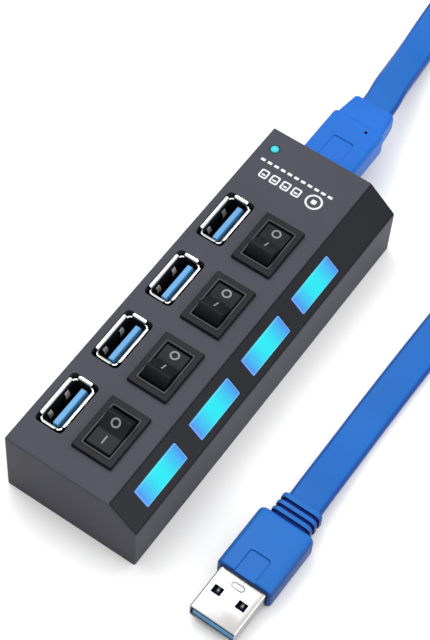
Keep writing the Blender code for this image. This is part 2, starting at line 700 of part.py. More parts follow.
def cable_route():
    """Centre line from the outlet to the plug: out, down to the table, round and back.

    Each entry is x, y, z in mm and the bank in degrees: 0 is flat on the table and
    90 stands on edge.  The cable rolls on edge where it turns back.
    """
    return (
        (79.4, 4.2, 10.4, 0), (83.0, 4.3, 10.35, 0), (89.0, 5.3, 9.5, 0), (95.5, 6.3, 7.4, 0),
        (103.0, 7.5, 4.8, 0), (111.0, 8.7, 2.7, 0), (119.0, 9.6, 2.0, 2), (127.0, 9.8, 2.6, 18),
        (135.8, 8.5, 3.8, 45), (144.8, 4.9, 4.45, 68), (152.6, -1.1, 4.7, 78), (158.3, -8.9, 4.7, 80),
        (160.6, -18.1, 4.7, 80), (158.8, -27.3, 4.7, 80), (153.4, -35.2, 4.7, 78),
        (145.6, -41.2, 4.45, 68), (136.6, -44.8, 3.8, 45), (127.0, -45.9, 2.6, 18),
        (118.0, -45.4, 1.9, 2), (104.0, -44.0, 1.7, 0), (88.0, -42.7, 1.6, 0), (70.0, -41.7, 1.6, 0),
        (50.0, -41.0, 1.6, 0), (30.0, -40.6, 1.6, 0), (12.0, -40.4, 1.6, 0), (0.0, -40.45, 1.9, 0),
        (-8.5, -40.65, 2.9, 0), (-15.5, -40.82, 3.7, 0), (-20.6, -40.9, 3.8, 0),
    )


def catmull_rom(before, start, end, after, t):
    return 0.5 * ((2 * start) + (end - before) * t + (2 * before - 5 * start + 4 * end - after) * t * t
                  + (3 * start - before - 3 * end + after) * t * t * t)


def smooth_route(route, spacing):
    """Points an even distance apart on a smooth curve through the route."""
    knots = [Vector(entry) for entry in route]
    knots = [2 * knots[0] - knots[1]] + knots + [2 * knots[-1] - knots[-2]]
    fine = []
    for i in range(1, len(knots) - 2):
        for step in range(24):
            fine.append(catmull_rom(knots[i - 1], knots[i], knots[i + 1], knots[i + 2], step / 24))
    fine.append(knots[-2])
    run = [0.0]
    for a, b in zip(fine, fine[1:]):
        run.append(run[-1] + (b - a).xyz.length)
    count = round(run[-1] * MM / spacing)
    points = []
    k = 0
    for n in range(count + 1):
        target = run[-1] * n / count
        while k < len(fine) - 2 and run[k + 1] < target:
            k += 1
        share = (target - run[k]) / (run[k + 1] - run[k])
        points.append(fine[k].lerp(fine[k + 1], share))
    return points, run[-1] * MM


def make_cable():
    points, length = smooth_route(cable_route(), CABLE_SPACING)
    curve = bpy.data.curves.new("flat_cable", "CURVE")
    curve.dimensions = "3D"
    curve.twist_mode = "Z_UP"
    curve.bevel_depth = CABLE_THICK / 2
    curve.bevel_resolution = 2
    curve.extrude = (CABLE_WIDTH - CABLE_THICK) / 2
    curve.use_fill_caps = True
    spline = curve.splines.new("POLY")
    spline.points.add(len(points) - 1)
    for point, entry in zip(spline.points, points):
        point.co = (entry[0] * MM, entry[1] * MM, entry[2] * MM, 1.0)
        point.tilt = math.radians(90.0 - entry[3])
    curve.materials.append(CABLE_BLUE)
    cable = bpy.data.objects.new("flat_cable", curve)
    PARTS.objects.link(cable)
    print(f"cable length {length * 1000:.1f} mm in {len(points)} points")


# ------------------------------------------------------------------ assembly

make_housing()
make_cover()
make_screws()
make_strip()
make_status_light()
make_board()
for port_index in range(STATIONS):
    make_port(port_index)
for switch_index in range(STATIONS):
    make_switch(switch_index)
make_outlet()
make_plug()
make_cable()
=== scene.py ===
import json
import math

import bmesh
import bpy
from mathutils import Matrix, Vector


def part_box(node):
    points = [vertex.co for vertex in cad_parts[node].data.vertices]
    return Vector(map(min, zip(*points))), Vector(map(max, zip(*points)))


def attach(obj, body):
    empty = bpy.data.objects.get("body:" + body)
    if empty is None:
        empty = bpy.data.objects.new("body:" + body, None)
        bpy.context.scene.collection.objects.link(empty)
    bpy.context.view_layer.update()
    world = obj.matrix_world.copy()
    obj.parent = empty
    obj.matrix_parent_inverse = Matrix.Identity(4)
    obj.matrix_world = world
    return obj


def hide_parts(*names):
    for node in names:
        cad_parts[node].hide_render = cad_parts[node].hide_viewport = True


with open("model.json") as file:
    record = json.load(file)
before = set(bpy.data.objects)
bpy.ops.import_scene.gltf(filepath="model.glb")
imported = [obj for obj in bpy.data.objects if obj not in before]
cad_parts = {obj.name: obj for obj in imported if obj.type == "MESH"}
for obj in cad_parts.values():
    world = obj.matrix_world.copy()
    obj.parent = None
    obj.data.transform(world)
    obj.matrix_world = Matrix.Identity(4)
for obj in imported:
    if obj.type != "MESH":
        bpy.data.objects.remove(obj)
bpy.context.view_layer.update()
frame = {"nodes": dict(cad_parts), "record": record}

# Looks of the USB hub.  Lengths in this script are in millimetres up to the point where a mesh
# is made (mm() turns them into metres); places come from the frame's own boxes.

MM = 0.001
SCENE = bpy.context.scene
BODY = "hub_body"
STATIONS = (1, 2, 3, 4)


def mm(*values):
    return Vector(values) * MM


def node_box(node):
    """Lowest and highest corner of a CAD node, in millimetres."""
    low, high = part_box(node)
    return Vector(low) / MM, Vector(high) / MM


HUB_HIGH = node_box("top_housing")[1]
TOP = HUB_HIGH.z
HALF_LENGTH = HUB_HIGH.x
BEVEL_WIDTH = 7.5
BEVEL_DROP = 6.45
SLOPE = math.atan2(BEVEL_DROP, BEVEL_WIDTH)
SLOPE_OUT = Vector((0.0, -math.sin(SLOPE), math.cos(SLOPE)))


def centre(node):
    low, high = node_box(node)
    return (low + high) / 2


# -------------------- camera and stage

CAMERA_AZIMUTH = -59.54
CAMERA_ELEVATION = 57.42
CAMERA_ROLL = 4.94
CAMERA_TARGET = Vector((10.46, 4.56, 0.0))
CAMERA_DISTANCE = 484.3
CAMERA_LENS = 114.2
CEILING_HEIGHTS = (0.1, 0.75)       # of the sky's direction, where its light starts and is full
CEILING_LIGHT = (0.1, 1.6)
CEILING_SIDE = 0.4                  # how much brighter the ceiling is towards +X
FLOOR_REACH = 3.0                   # metres
FLOOR_GREY = 0.8


def look_from(azimuth, elevation, roll):
    """Rotation of something that looks at the object: 0 looks along +Y, elevation is above level."""
    a = math.radians(azimuth)
    e = math.radians(elevation)
    back = Vector((math.sin(a) * math.cos(e), -math.cos(a) * math.cos(e), math.sin(e)))
    right = Vector((math.cos(a), math.sin(a), 0.0))
    up = back.cross(right)
    turn = Matrix((right, up, back)).transposed()
    return turn @ Matrix.Rotation(math.radians(roll), 3, "Z"), back


def add_camera():
    camera = bpy.data.objects.new("camera", bpy.data.cameras.new("camera"))
    SCENE.collection.objects.link(camera)
    turn, back = look_from(CAMERA_AZIMUTH, CAMERA_ELEVATION, CAMERA_ROLL)
    place = (CAMERA_TARGET + back * CAMERA_DISTANCE) * MM
    camera.matrix_world = Matrix.Translation(place) @ turn.to_4x4()
    camera.data.lens = CAMERA_LENS
    camera.data.clip_start = 0.01
    camera.data.dof.use_dof = False
    SCENE.camera = camera


def add_light(name, azimuth, elevation, distance, size, power):
    """A square softbox; distance and size in metres, power in watts."""
    data = bpy.data.lights.new(name, "AREA")
    data.shape = "SQUARE"
    data.size = size
    data.energy = power
    light = bpy.data.objects.new(name, data)
    SCENE.collection.objects.link(light)
    turn, back = look_from(azimuth, elevation, 0.0)
    light.matrix_world = Matrix.Translation(back * distance) @ turn.to_4x4()


def add_world():
    """A bright studio ceiling, dim at the horizon and dimmer towards the end away from the cable."""
    world = bpy.data.worlds.new("studio")
    SCENE.world = world
    world.use_nodes = True
    tree = world.node_tree
    background = tree.nodes["Background"]
    coords = tree.nodes.new("ShaderNodeTexCoord")
    split = tree.nodes.new("ShaderNodeSeparateXYZ")
    ramp = tree.nodes.new("ShaderNodeMapRange")
    ramp.inputs["From Min"].default_value = CEILING_HEIGHTS[0]
    ramp.inputs["From Max"].default_value = CEILING_HEIGHTS[1]
    ramp.inputs["To Min"].default_value = CEILING_LIGHT[0]
    ramp.inputs["To Max"].default_value = CEILING_LIGHT[1]
    tree.links.new(coords.outputs["Generated"], split.inputs[0])
    tree.links.new(split.outputs["Z"], ramp.inputs["Value"])
    side = tree.nodes.new("ShaderNodeMath")
    side.operation = "MULTIPLY_ADD"
    side.inputs[1].default_value = CEILING_SIDE
    side.inputs[2].default_value = 1.0
    both = tree.nodes.new("ShaderNodeMath")
    both.operation = "MULTIPLY"
    tree.links.new(split.outputs["X"], side.inputs[0])
    tree.links.new(ramp.outputs["Result"], both.inputs[0])
    tree.links.new(side.outputs[0], both.inputs[1])
    tree.links.new(both.outputs[0], background.inputs["Strength"])
    background.inputs["Color"].default_value = (1.0, 1.0, 1.0, 1.0)


def add_floor():
    bm = bmesh.new()
    bmesh.ops.create_grid(bm, x_segments=1, y_segments=1, size=FLOOR_REACH)
    mesh = bpy.data.meshes.new("floor")
    bm.to_mesh(mesh)
    bm.free()
    floor = bpy.data.objects.new("floor", mesh)
    SCENE.collection.objects.link(floor)
    mat = bpy.data.materials.new("floor")
    mat.use_nodes = True
    shader = mat.node_tree.nodes["Principled BSDF"]
    shader.inputs["Base Color"].default_value = (FLOOR_GREY, FLOOR_GREY, FLOOR_GREY, 1.0)
    shader.inputs["Roughness"].default_value = 0.8
    mesh.materials.append(mat)


add_camera()
add_world()
add_light("key_softbox", 160.0, 58.0, 0.9, 0.6, 4.0)
add_light("side_fill", 0.0, 20.0, 0.8, 0.5, 2.8)
add_floor()
SCENE.view_settings.view_transform = "Standard"


# -------------------- materials

def principled(name):
    mat = bpy.data.materials.new(name)
    mat.use_nodes = True
    tree = mat.node_tree
    return mat, tree, tree.nodes["Principled BSDF"]


def object_noise(tree, scale, detail=2.0, stretch=(1.0, 1.0, 1.0)):
    """Noise over the object's own coordinates, with `scale` features to a metre."""
    coords = tree.nodes.new("ShaderNodeTexCoord")
    mapping = tree.nodes.new("ShaderNodeMapping")
    mapping.inputs["Scale"].default_value = stretch
    noise = tree.nodes.new("ShaderNodeTexNoise")
    noise.inputs["Scale"].default_value = scale
    noise.inputs["Detail"].default_value = detail
    tree.links.new(coords.outputs["Object"], mapping.inputs["Vector"])
    tree.links.new(mapping.outputs["Vector"], noise.inputs["Vector"])
    return noise


def remap(tree, value, low, high, from_low=0.3, from_high=0.7):
    node = tree.nodes.new("ShaderNodeMapRange")
    node.inputs["From Min"].default_value = from_low
    node.inputs["From Max"].default_value = from_high
    node.inputs["To Min"].default_value = low
    node.inputs["To Max"].default_value = high
    tree.links.new(value, node.inputs["Value"])
    return node.outputs["Result"]


def mix_colour(tree, factor, first, second):
    """Mix of two colours, either of which may be a socket."""
    node = tree.nodes.new("ShaderNodeMix")
    node.data_type = "RGBA"
    tree.links.new(factor, node.inputs["Factor"])
    for socket, colour in ((node.inputs[6], first), (node.inputs[7], second)):
        if isinstance(colour, tuple):
            socket.default_value = (*colour, 1.0)
        else:
            tree.links.new(colour, socket)
    return node.outputs[2]


def add_bump(tree, shader, height, strength, distance):
    bump = tree.nodes.new("ShaderNodeBump")
    bump.inputs["Strength"].default_value = strength
    bump.inputs["Distance"].default_value = distance * MM
    tree.links.new(height, bump.inputs["Height"])
    tree.links.new(bump.outputs["Normal"], shader.inputs["Normal"])


def plastic(name, colour, roughness, grain=0.16, depth=0.012, spread=0.12, specular=0.5, ior=1.5):
    """Moulded plastic: spark-eroded grain, slow colour drift and uneven gloss."""
    mat, tree, shader = principled(name)
    darker = tuple(c * (1.0 - spread) for c in colour)
    lighter = tuple(min(1.0, c * (1.0 + spread)) for c in colour)
    drift = object_noise(tree, 45.0, 3.0)
    fine = object_noise(tree, 1.0 / (grain * MM), 2.0)
    base = mix_colour(tree, remap(tree, drift.outputs["Fac"], 0.0, 1.0), darker, lighter)
    tree.links.new(base, shader.inputs["Base Color"])
    gloss = remap(tree, fine.outputs["Fac"], roughness * 0.88, roughness * 1.12)
    tree.links.new(gloss, shader.inputs["Roughness"])
    shader.inputs["Specular IOR Level"].default_value = specular
    shader.inputs["IOR"].default_value = ior
    add_bump(tree, shader, fine.outputs["Fac"], 0.6, depth)
    return mat


def tint(mat, value, start, end, colour):
    """Blends `colour` over a material's own as a socket's value goes from `start` to `end`."""
    tree = mat.node_tree
    shader = tree.nodes["Principled BSDF"]
    base = shader.inputs["Base Color"].links[0].from_socket
    share = remap(tree, value, 0.0, 1.0, start, end)
    tree.links.new(mix_colour(tree, share, base, colour), shader.inputs["Base Color"])
    return mat


def tint_facing(mat, direction, start, end, colour):
    """Tints faces by how far their normal points along a direction."""
    tree = mat.node_tree
    geometry = tree.nodes.new("ShaderNodeNewGeometry")
    dot = tree.nodes.new("ShaderNodeVectorMath")
    dot.operation = "DOT_PRODUCT"
    dot.inputs[1].default_value = direction
    tree.links.new(geometry.outputs["Normal"], dot.inputs[0])
    return tint(mat, dot.outputs["Value"], start, end, colour)


def paint_edge_shade(mat, start, end, colour):
    """Paints shade on a cable's edges by their distance in millimetres from its middle."""
    tree = mat.node_tree
    uv = tree.nodes.new("ShaderNodeUVMap")
    uv.uv_map = "section"
    split = tree.nodes.new("ShaderNodeSeparateXYZ")
    tree.links.new(uv.outputs["UV"], split.inputs[0])
    off_middle = tree.nodes.new("ShaderNodeMath")
    off_middle.operation = "ABSOLUTE"
    tree.links.new(split.outputs["X"], off_middle.inputs[0])
    return tint(mat, off_middle.outputs[0], start, end, colour)


def metal(name, colour, roughness, brushed=(1.0, 1.0, 1.0), depth=0.002):
    """Plated sheet: faint drawing marks and patches of duller plate."""
    mat, tree, shader = principled(name)
    shader.inputs["Metallic"].default_value = 1.0
    patches = object_noise(tree, 400.0, 3.0)
    marks = object_noise(tree, 6000.0, 2.0, brushed)
    dull = tuple(c * 0.93 for c in colour)
    tree.links.new(mix_colour(tree, patches.outputs["Fac"], colour, dull), shader.inputs["Base Color"])
    tree.links.new(remap(tree, patches.outputs["Fac"], roughness * 0.7, roughness * 1.4),
                   shader.inputs["Roughness"])
    add_bump(tree, shader, marks.outputs["Fac"], 0.4, depth)
    return mat


def paint_shade_below(mat, start, end, colour):
    """Paints shade into a piece by depth: its own colour above `start` mm, `colour` below `end` mm."""
    tree = mat.node_tree
    coords = tree.nodes.new("ShaderNodeTexCoord")
    split = tree.nodes.new("ShaderNodeSeparateXYZ")
    tree.links.new(coords.outputs["Object"], split.inputs[0])
    return tint(mat, split.outputs["Z"], start * MM, end * MM, colour)


def squares(tree, vector, reaches):
    """Sum of the squares of a vector's X and Y, each divided by its reach; None leaves one out."""
    split = tree.nodes.new("ShaderNodeSeparateXYZ")
    tree.links.new(vector, split.inputs[0])
    total = None
    for axis, reach in zip("XY", reaches):
        if reach is None:
            continue
        scaled = tree.nodes.new("ShaderNodeMath")
        scaled.operation = "DIVIDE"
        scaled.inputs[1].default_value = reach
        tree.links.new(split.outputs[axis], scaled.inputs[0])
        with_square = tree.nodes.new("ShaderNodeMath")
        with_square.operation = "MULTIPLY_ADD"
        with_square.inputs[2].default_value = 0.0
        tree.links.new(scaled.outputs[0], with_square.inputs[0])
        tree.links.new(scaled.outputs[0], with_square.inputs[1])
        if total is not None:
            tree.links.new(total, with_square.inputs[2])
        total = with_square.outputs[0]
    return total


def glow(name, stops, reaches):
    """A lit lens: brightest and greenest over its LED, bluer towards its ends.

    stops pair the square of the share of the way out with a colour."""
    mat, tree, shader = principled(name)
    shader.inputs["Base Color"].default_value = (0.003, 0.012, 0.02, 1.0)
    shader.inputs["Specular IOR Level"].default_value = 0.1
    grain = object_noise(tree, 2500.0, 2.0)
    tree.links.new(remap(tree, grain.outputs["Fac"], 0.2, 0.32), shader.inputs["Roughness"])
    uv = tree.nodes.new("ShaderNodeUVMap")
    uv.uv_map = "lens"
    ramp = tree.nodes.new("ShaderNodeValToRGB")
    elements = ramp.color_ramp.elements
    while len(elements) < len(stops):
        elements.new(0.5)
    for element, (position, colour) in zip(elements, stops):
        element.position = position
        element.color = (*colour, 1.0)
    tree.links.new(squares(tree, uv.outputs["UV"], reaches), ramp.inputs["Fac"])
    tree.links.new(ramp.outputs["Color"], shader.inputs["Emission Color"])
    shader.inputs["Emission Strength"].default_value = 1.0
    return mat


MATT_IOR = 1.2          # a matt moulding reflects less at a glancing angle than polished plastic
CASE_GREY = (0.043, 0.0435, 0.056)
STRIP_GREY = (0.013, 0.0135, 0.0165)
CASE = tint_facing(plastic("case_plastic", CASE_GREY, 0.5, grain=0.14, depth=0.012, spread=0.05,
                           ior=MATT_IOR), SLOPE_OUT, 0.95, 0.99, STRIP_GREY)
STRIP = plastic("strip_plastic", STRIP_GREY, 0.35, grain=0.3, depth=0.004, spread=0.04, ior=MATT_IOR)
FRAME_BLACK = plastic("switch_frame_plastic", (0.009, 0.0092, 0.0115), 0.38, grain=0.12, depth=0.01,
                      ior=MATT_IOR)
# Painted shade: a darker black for the frame's broken outer edge.
FRAME_EDGE_SHADE = plastic("switch_frame_edge_painted_shade", (0.003, 0.003, 0.006), 0.45, grain=0.12, depth=0.006,
                     ior=MATT_IOR)
# Painted highlight: a paler grey for the fine lip round the frame's opening.
FRAME_LIP_HIGHLIGHT = plastic("switch_frame_lip_painted_highlight", (0.02, 0.0215, 0.025), 0.4, grain=0.12, depth=0.004,
                    specular=0.25)
ROCKER_BLACK = plastic("rocker_plastic", (0.0065, 0.007, 0.0095), 0.3, grain=0.18, depth=0.006,
                       ior=MATT_IOR)
MARK_GREY = plastic("mark_ink", (0.17, 0.18, 0.2), 0.5, grain=0.08, depth=0.003, specular=0.2)
PRINT_WHITE = plastic("print_ink", (0.50, 0.51, 0.53), 0.5, grain=0.08, depth=0.003, spread=0.04)
# Painted shade: the near-black that steel parts fade to deep inside a port.
PAINTED_SHADE_METAL = (0.02, 0.02, 0.022)
# The port shell is painted darker from 1.2 mm to 1.8 mm below the top face, as shade inside the mouth.
PORT_STEEL = paint_shade_below(metal("port_steel", (0.55, 0.55, 0.55), 0.28), TOP - 1.2, TOP - 1.8, PAINTED_SHADE_METAL)
# The spring fingers are painted darker from 3.4 mm to 4.6 mm below the top face, as shade deep in the port.
SPRING_STEEL = paint_shade_below(metal("spring_steel", (0.9, 0.83, 0.72), 0.55), TOP - 3.4, TOP - 4.6,
                            PAINTED_SHADE_METAL)
PLUG_STEEL = metal("plug_steel", (0.4, 0.395, 0.393), 0.2, brushed=(0.05, 1.0, 1.0))
# Painted shade: a darker copy of the plug's steel for the latch tabs in the windows and the oblong's rim.
PAINTED_SHADE_STEEL = metal("steel_painted_shade", (0.16, 0.16, 0.165), 0.35)
CONTACT_GOLD = metal("contact_metal", (0.95, 0.72, 0.36), 0.2)
SCREW_STEEL = metal("screw_steel", (0.35, 0.35, 0.37), 0.3)
PLATED = metal("plated_steel", (0.75, 0.75, 0.78), 0.25)
INSULATOR_BLUE = (0.075, 0.255, 0.49)
PORT_BLUE = plastic("port_plastic", INSULATOR_BLUE, 0.4, grain=0.1, depth=0.006, spread=0.06,
                    specular=0.3)
TONGUE_TIP = node_box("usb_port_insulator_1")[1].z
# The tongue is painted a darker blue below its tip, as shade down inside the port.
TONGUE_BLUE = paint_shade_below(plastic("tongue_plastic", INSULATOR_BLUE, 0.4, grain=0.1, depth=0.006,
                                   spread=0.06, specular=0.3),
                           TONGUE_TIP - 0.15, TONGUE_TIP - 1.5, (0.004, 0.075, 0.25))
MOULDING_BLUE = plastic("cable_moulding", (0.006, 0.097, 0.405), 0.42, grain=0.1, depth=0.012,
                        spread=0.06, specular=0.15)
UPWARDS = Vector((0.0, 0.0, 1.0))
# The plug moulding is painted a darker blue on faces that turn away from upwards, as shade on its sides.
PLUG_BLUE_SIDE_SHADE = tint_facing(plastic("plug_moulding", (0.008, 0.1, 0.36), 0.42, grain=0.1, depth=0.012,
                                spread=0.06, specular=0.15),
                        UPWARDS, 0.9, 0.35, (0.002, 0.036, 0.18))
# Painted shadow: deep navy for the faces inside the neck's grooves.
GROOVE_SHADOW_BLUE = plastic("groove_shadow", (0.001, 0.008, 0.1), 0.6, grain=0.1, depth=0.004, specular=0.1)
PLATE_SHADE = plastic("plate_top", (0.003, 0.018, 0.06), 0.5, grain=0.1, depth=0.004, specular=0.1)
# The jacket is painted a darker blue from 3.4 mm out from its middle, as shade on its rolled edges.
JACKET_BLUE_EDGE_SHADE = paint_edge_shade(plastic("cable_jacket", (0.005, 0.09, 0.345), 0.4, grain=0.2, depth=0.006,
                                 spread=0.06, specular=0.15), 3.4, 4.2, (0.002, 0.035, 0.2))
BOARD_GREEN = plastic("circuit_board", (0.02, 0.16, 0.07), 0.35, grain=0.5, depth=0.01)
CHIP_BLACK = plastic("chip_package", (0.02, 0.02, 0.02), 0.5)
LED_WHITE = plastic("led_package", (0.8, 0.85, 0.8), 0.35)
# Painted shade: near-black for the walls of mouths, pinholes and pockets, which lie in shade.
PAINTED_SHADE_HOLE = plastic("cavity_painted_shade", (0.006, 0.006, 0.007), 0.7, grain=0.2, depth=0.004, specular=0.1)
WINDOW_SIZE = (15.0, 4.85)
WINDOW_THICK = 1.45
WINDOW_REACH = (WINDOW_SIZE[0] / 2, None)
DOT_REACH = (1.2, 1.2)
LIT_WINDOW = glow("lit_window", ((0.0, (0.022, 0.82, 0.88)), (0.25, (0.045, 0.60, 0.88)),
                                 (1.0, (0.085, 0.24, 0.87))), WINDOW_REACH)
LIT_RIM = glow("lit_rim", ((0.0, (0.14, 0.78, 0.92)), (1.0, (0.22, 0.44, 0.85))), WINDOW_REACH)
LIT_DOT = glow("lit_dot", ((0.0, (0.10, 0.80, 0.86)), (0.45, (0.06, 0.70, 0.76)),
                           (0.8, (0.01, 0.17, 0.19)), (1.0, (0.004, 0.05, 0.06))), DOT_REACH)


# -------------------- mesh helpers

CIRCLE_SIDES = 40


def make_piece(name, bm, mats, body=BODY, replaces=(), sharp=35.0):
    """Closes a bmesh (in millimetres) into a piece that rides on a body."""
    bmesh.ops.remove_doubles(bm, verts=bm.verts, dist=1e-4)
    bmesh.ops.recalc_face_normals(bm, faces=bm.faces)
    bmesh.ops.scale(bm, verts=bm.verts, vec=(MM, MM, MM))
    mesh = bpy.data.meshes.new(name)
    bm.to_mesh(mesh)
    bm.free()
    for mat in mats:
        mesh.materials.append(mat)
    mesh.shade_smooth()
    mesh.set_sharp_from_angle(angle=math.radians(sharp))
    piece = bpy.data.objects.new(name, mesh)
    SCENE.collection.objects.link(piece)
    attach(piece, body)
    if replaces:
        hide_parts(*replaces)
    return piece


def rounded_rect(width, depth, radius, steps=5):
    """Points round a rectangle with round corners, centred on 0, 0, anticlockwise."""
    radius = min(radius, width / 2 - 1e-3, depth / 2 - 1e-3)
    points = []
    for sx, sy, start in ((1, 1, 0), (-1, 1, 90), (-1, -1, 180), (1, -1, 270)):
        cx = sx * (width / 2 - radius)
        cy = sy * (depth / 2 - radius)
        for step in range(steps + 1):
            angle = math.radians(start + 90 * step / steps)
            points.append((cx + radius * math.cos(angle), cy + radius * math.sin(angle)))
    return points


def loft(bm, rings, cap=True):
    """Skin over rings of equally many points, with flat caps on the first and last."""
    loops = [[bm.verts.new(p) for p in ring] for ring in rings]
    count = len(loops[0])
    faces = []
    for low, high in zip(loops, loops[1:]):
        for i in range(count):
            j = (i + 1) % count
            faces.append(bm.faces.new((low[i], low[j], high[j], high[i])))
    if cap:
        faces.append(bm.faces.new(loops[0][::-1]))
        faces.append(bm.faces.new(loops[-1]))
    return faces


def level_rings(x, y, profile, steps=5):
    """Rings for loft(): each profile entry is width, depth, corner radius and height."""
    return [[Vector((x + px, y + py, z)) for px, py in rounded_rect(w, d, r, steps)]
            for w, d, r, z in profile]


def round_rings(profile):
    """Circular rings about the Z axis for loft(): each profile entry is radius and height."""
    angles = [2 * math.pi * k / CIRCLE_SIDES for k in range(CIRCLE_SIDES)]
    return [[Vector((r * math.cos(a), r * math.sin(a), z)) for a in angles] for r, z in profile]


def bar_rings(sections, frame_matrix):
    """Rings across a bar that runs along +X: each section is x, width, height, corner radius."""
    return [[frame_matrix @ Vector((x, py, pz)) for py, pz in rounded_rect(w, h, r, 6)]
            for x, w, h, r in sections]


def far_end(x_end, width, height, radius, fillet):
    """Sections of the end of a bar, at x_end, where a fillet rounds it over."""
    sections = []
    for step in range(4, -1, -1):
        angle = math.pi / 2 * step / 4
        inset = fillet * (1 - math.sin(angle))
        x = x_end - fillet * (1 - math.cos(angle))
        sections.append((x, width - 2 * inset, height - 2 * inset, max(0.15, radius - inset)))
    return sections


def near_end(x_start, *shape):
    """The same for the start of a bar, at x_start."""
    return [(2 * x_start - x, w, h, r) for x, w, h, r in reversed(far_end(x_start, *shape))]


def block(bm, low, high, matrix=Matrix.Identity(4)):
    """A plain block between two corners, added to a bmesh."""
    low = Vector(low)
    high = Vector(high)
    size = high - low
    place = matrix @ Matrix.Translation((low + high) / 2) @ Matrix.Diagonal((*size, 1.0))
    bmesh.ops.create_cube(bm, size=1.0, matrix=place)


def apply_modifiers(piece):
    """Bakes a piece's modifiers into its mesh."""
    bpy.context.view_layer.update()
    evaluated = piece.evaluated_get(bpy.context.evaluated_depsgraph_get())
    mesh = bpy.data.meshes.new_from_object(evaluated)
    piece.modifiers.clear()
    old = piece.data
    piece.data = mesh
    bpy.data.meshes.remove(old)


def carve(piece, cutters):
    """Cuts pairs of a bmesh (in millimetres) and a material, for the walls it cuts, out of a piece."""
    made = []
    for number, (bm, material) in enumerate(cutters):
        bmesh.ops.recalc_face_normals(bm, faces=bm.faces)
        bmesh.ops.scale(bm, verts=bm.verts, vec=(MM, MM, MM))
        mesh = bpy.data.meshes.new(f"cutter_{number}")
        bm.to_mesh(mesh)
        bm.free()
        mesh.materials.append(material)
        cutter = bpy.data.objects.new(f"cutter_{number}", mesh)
        SCENE.collection.objects.link(cutter)
        mod = piece.modifiers.new(f"carve_{number}", "BOOLEAN")
        mod.operation = "DIFFERENCE"
        mod.solver = "EXACT"
        mod.material_mode = "TRANSFER"
        mod.object = cutter
        made.append(cutter)
    apply_modifiers(piece)
    for cutter in made:
        mesh = cutter.data
        bpy.data.objects.remove(cutter)
        bpy.data.meshes.remove(mesh)
    piece.data.shade_smooth()
    piece.data.set_sharp_from_angle(angle=math.radians(35))


def bevel(piece, width, angle):
    mod = piece.modifiers.new("edge", "BEVEL")
    mod.width = width * MM
    mod.segments = 3
    mod.limit_method = "ANGLE"
    mod.angle_limit = math.radians(angle)
    mod.harden_normals = True
    apply_modifiers(piece)


def use_material(node, mat):
    """Gives a CAD node its finish without touching its mesh."""
    obj = frame["nodes"][node]
    for slot in obj.material_slots:
        slot.material = mat


# -------------------- case and lit strip

def finish_case():
    use_material("top_housing", CASE)
    use_material("bottom_cover", CASE)
    use_material("light_strip", STRIP)
    for i in STATIONS:
        use_material(f"cover_screw_{i}", SCREW_STEEL)


def lay_flat_uv(bm):
    """Stores each point's place across the lens, in millimetres, for its glow."""
    layer = bm.loops.layers.uv.new("lens")
    for face in bm.faces:
        for loop in face.loops:
            loop[layer].uv = loop.vert.co.xy


def make_lens(index):
    """Window lens, flush in the strip, its rim just broken and its face very slightly crowned."""
    middle = centre(f"led_window_{index}")
    width, depth = WINDOW_SIZE
    turn = Matrix.Translation(middle) @ Matrix.Rotation(SLOPE, 4, "X")
    half = WINDOW_THICK / 2
    rings = level_rings(0.0, 0.0, ((width, depth, 0.25, -half), (width, depth, 0.25, half - 0.1),
                                   (width - 0.06, depth - 0.06, 0.22, half - 0.04),
                                   (width - 0.5, depth - 0.5, 0.2, half)))
    bm = bmesh.new()
    faces = loft(bm, rings)
    around = len(rings[0])
    for face in faces[2 * around:3 * around]:
        face.material_index = 1
    lay_flat_uv(bm)
    bmesh.ops.transform(bm, matrix=turn, verts=bm.verts)
    make_piece(f"window_lens_{index}", bm, [LIT_WINDOW, LIT_RIM],
               replaces=[f"led_window_{index}"])


def make_status_dot():
    """Clear pin with a low dome, set in the top face."""
    middle = centre("status_light_pipe")
    low, high = node_box("status_light_pipe")
    radius = (high.x - low.x) / 2
    bm = bmesh.new()
    loft(bm, round_rings(((radius, low.z), (radius, high.z - 0.15), (radius * 0.93, high.z),
                          (radius * 0.7, high.z + 0.12), (radius * 0.35, high.z + 0.18))))
    lay_flat_uv(bm)
    bmesh.ops.translate(bm, vec=(middle.x, middle.y, 0.0), verts=bm.verts)
    make_piece("status_dot", bm, [LIT_DOT], replaces=["status_light_pipe"])


# -------------------- printed pictograms

PRINT_LOW = TOP + 0.01
PRINT_HIGH = TOP + 0.03
BADGE_PLACE = (40.0, -2.2)
OUTLINES_X = 39.9
OUTLINES_Y = 2.7        # the first of a row that runs along +Y
OUTLINES_PITCH = 3.05
DASHES_X = 43.4
DASHES_Y = -4.6
DASHES_PITCH = 1.9


def flat_ring(bm, x, y, outer, inner, steps=6):
    """A thin printed outline between two rounded rectangles given as width, depth, radius."""
    rings = level_rings(x, y, ((*outer, PRINT_LOW), (*outer, PRINT_HIGH), (*inner, PRINT_HIGH),
                               (*inner, PRINT_LOW)), steps)
    loft(bm, rings + rings[:1], cap=False)


def flat_patch(bm, x, y, *shape):
    """A thin printed patch whose shape is a rounded rectangle's width, depth, radius."""
    loft(bm, level_rings(x, y, ((*shape, PRINT_LOW), (*shape, PRINT_HIGH))))


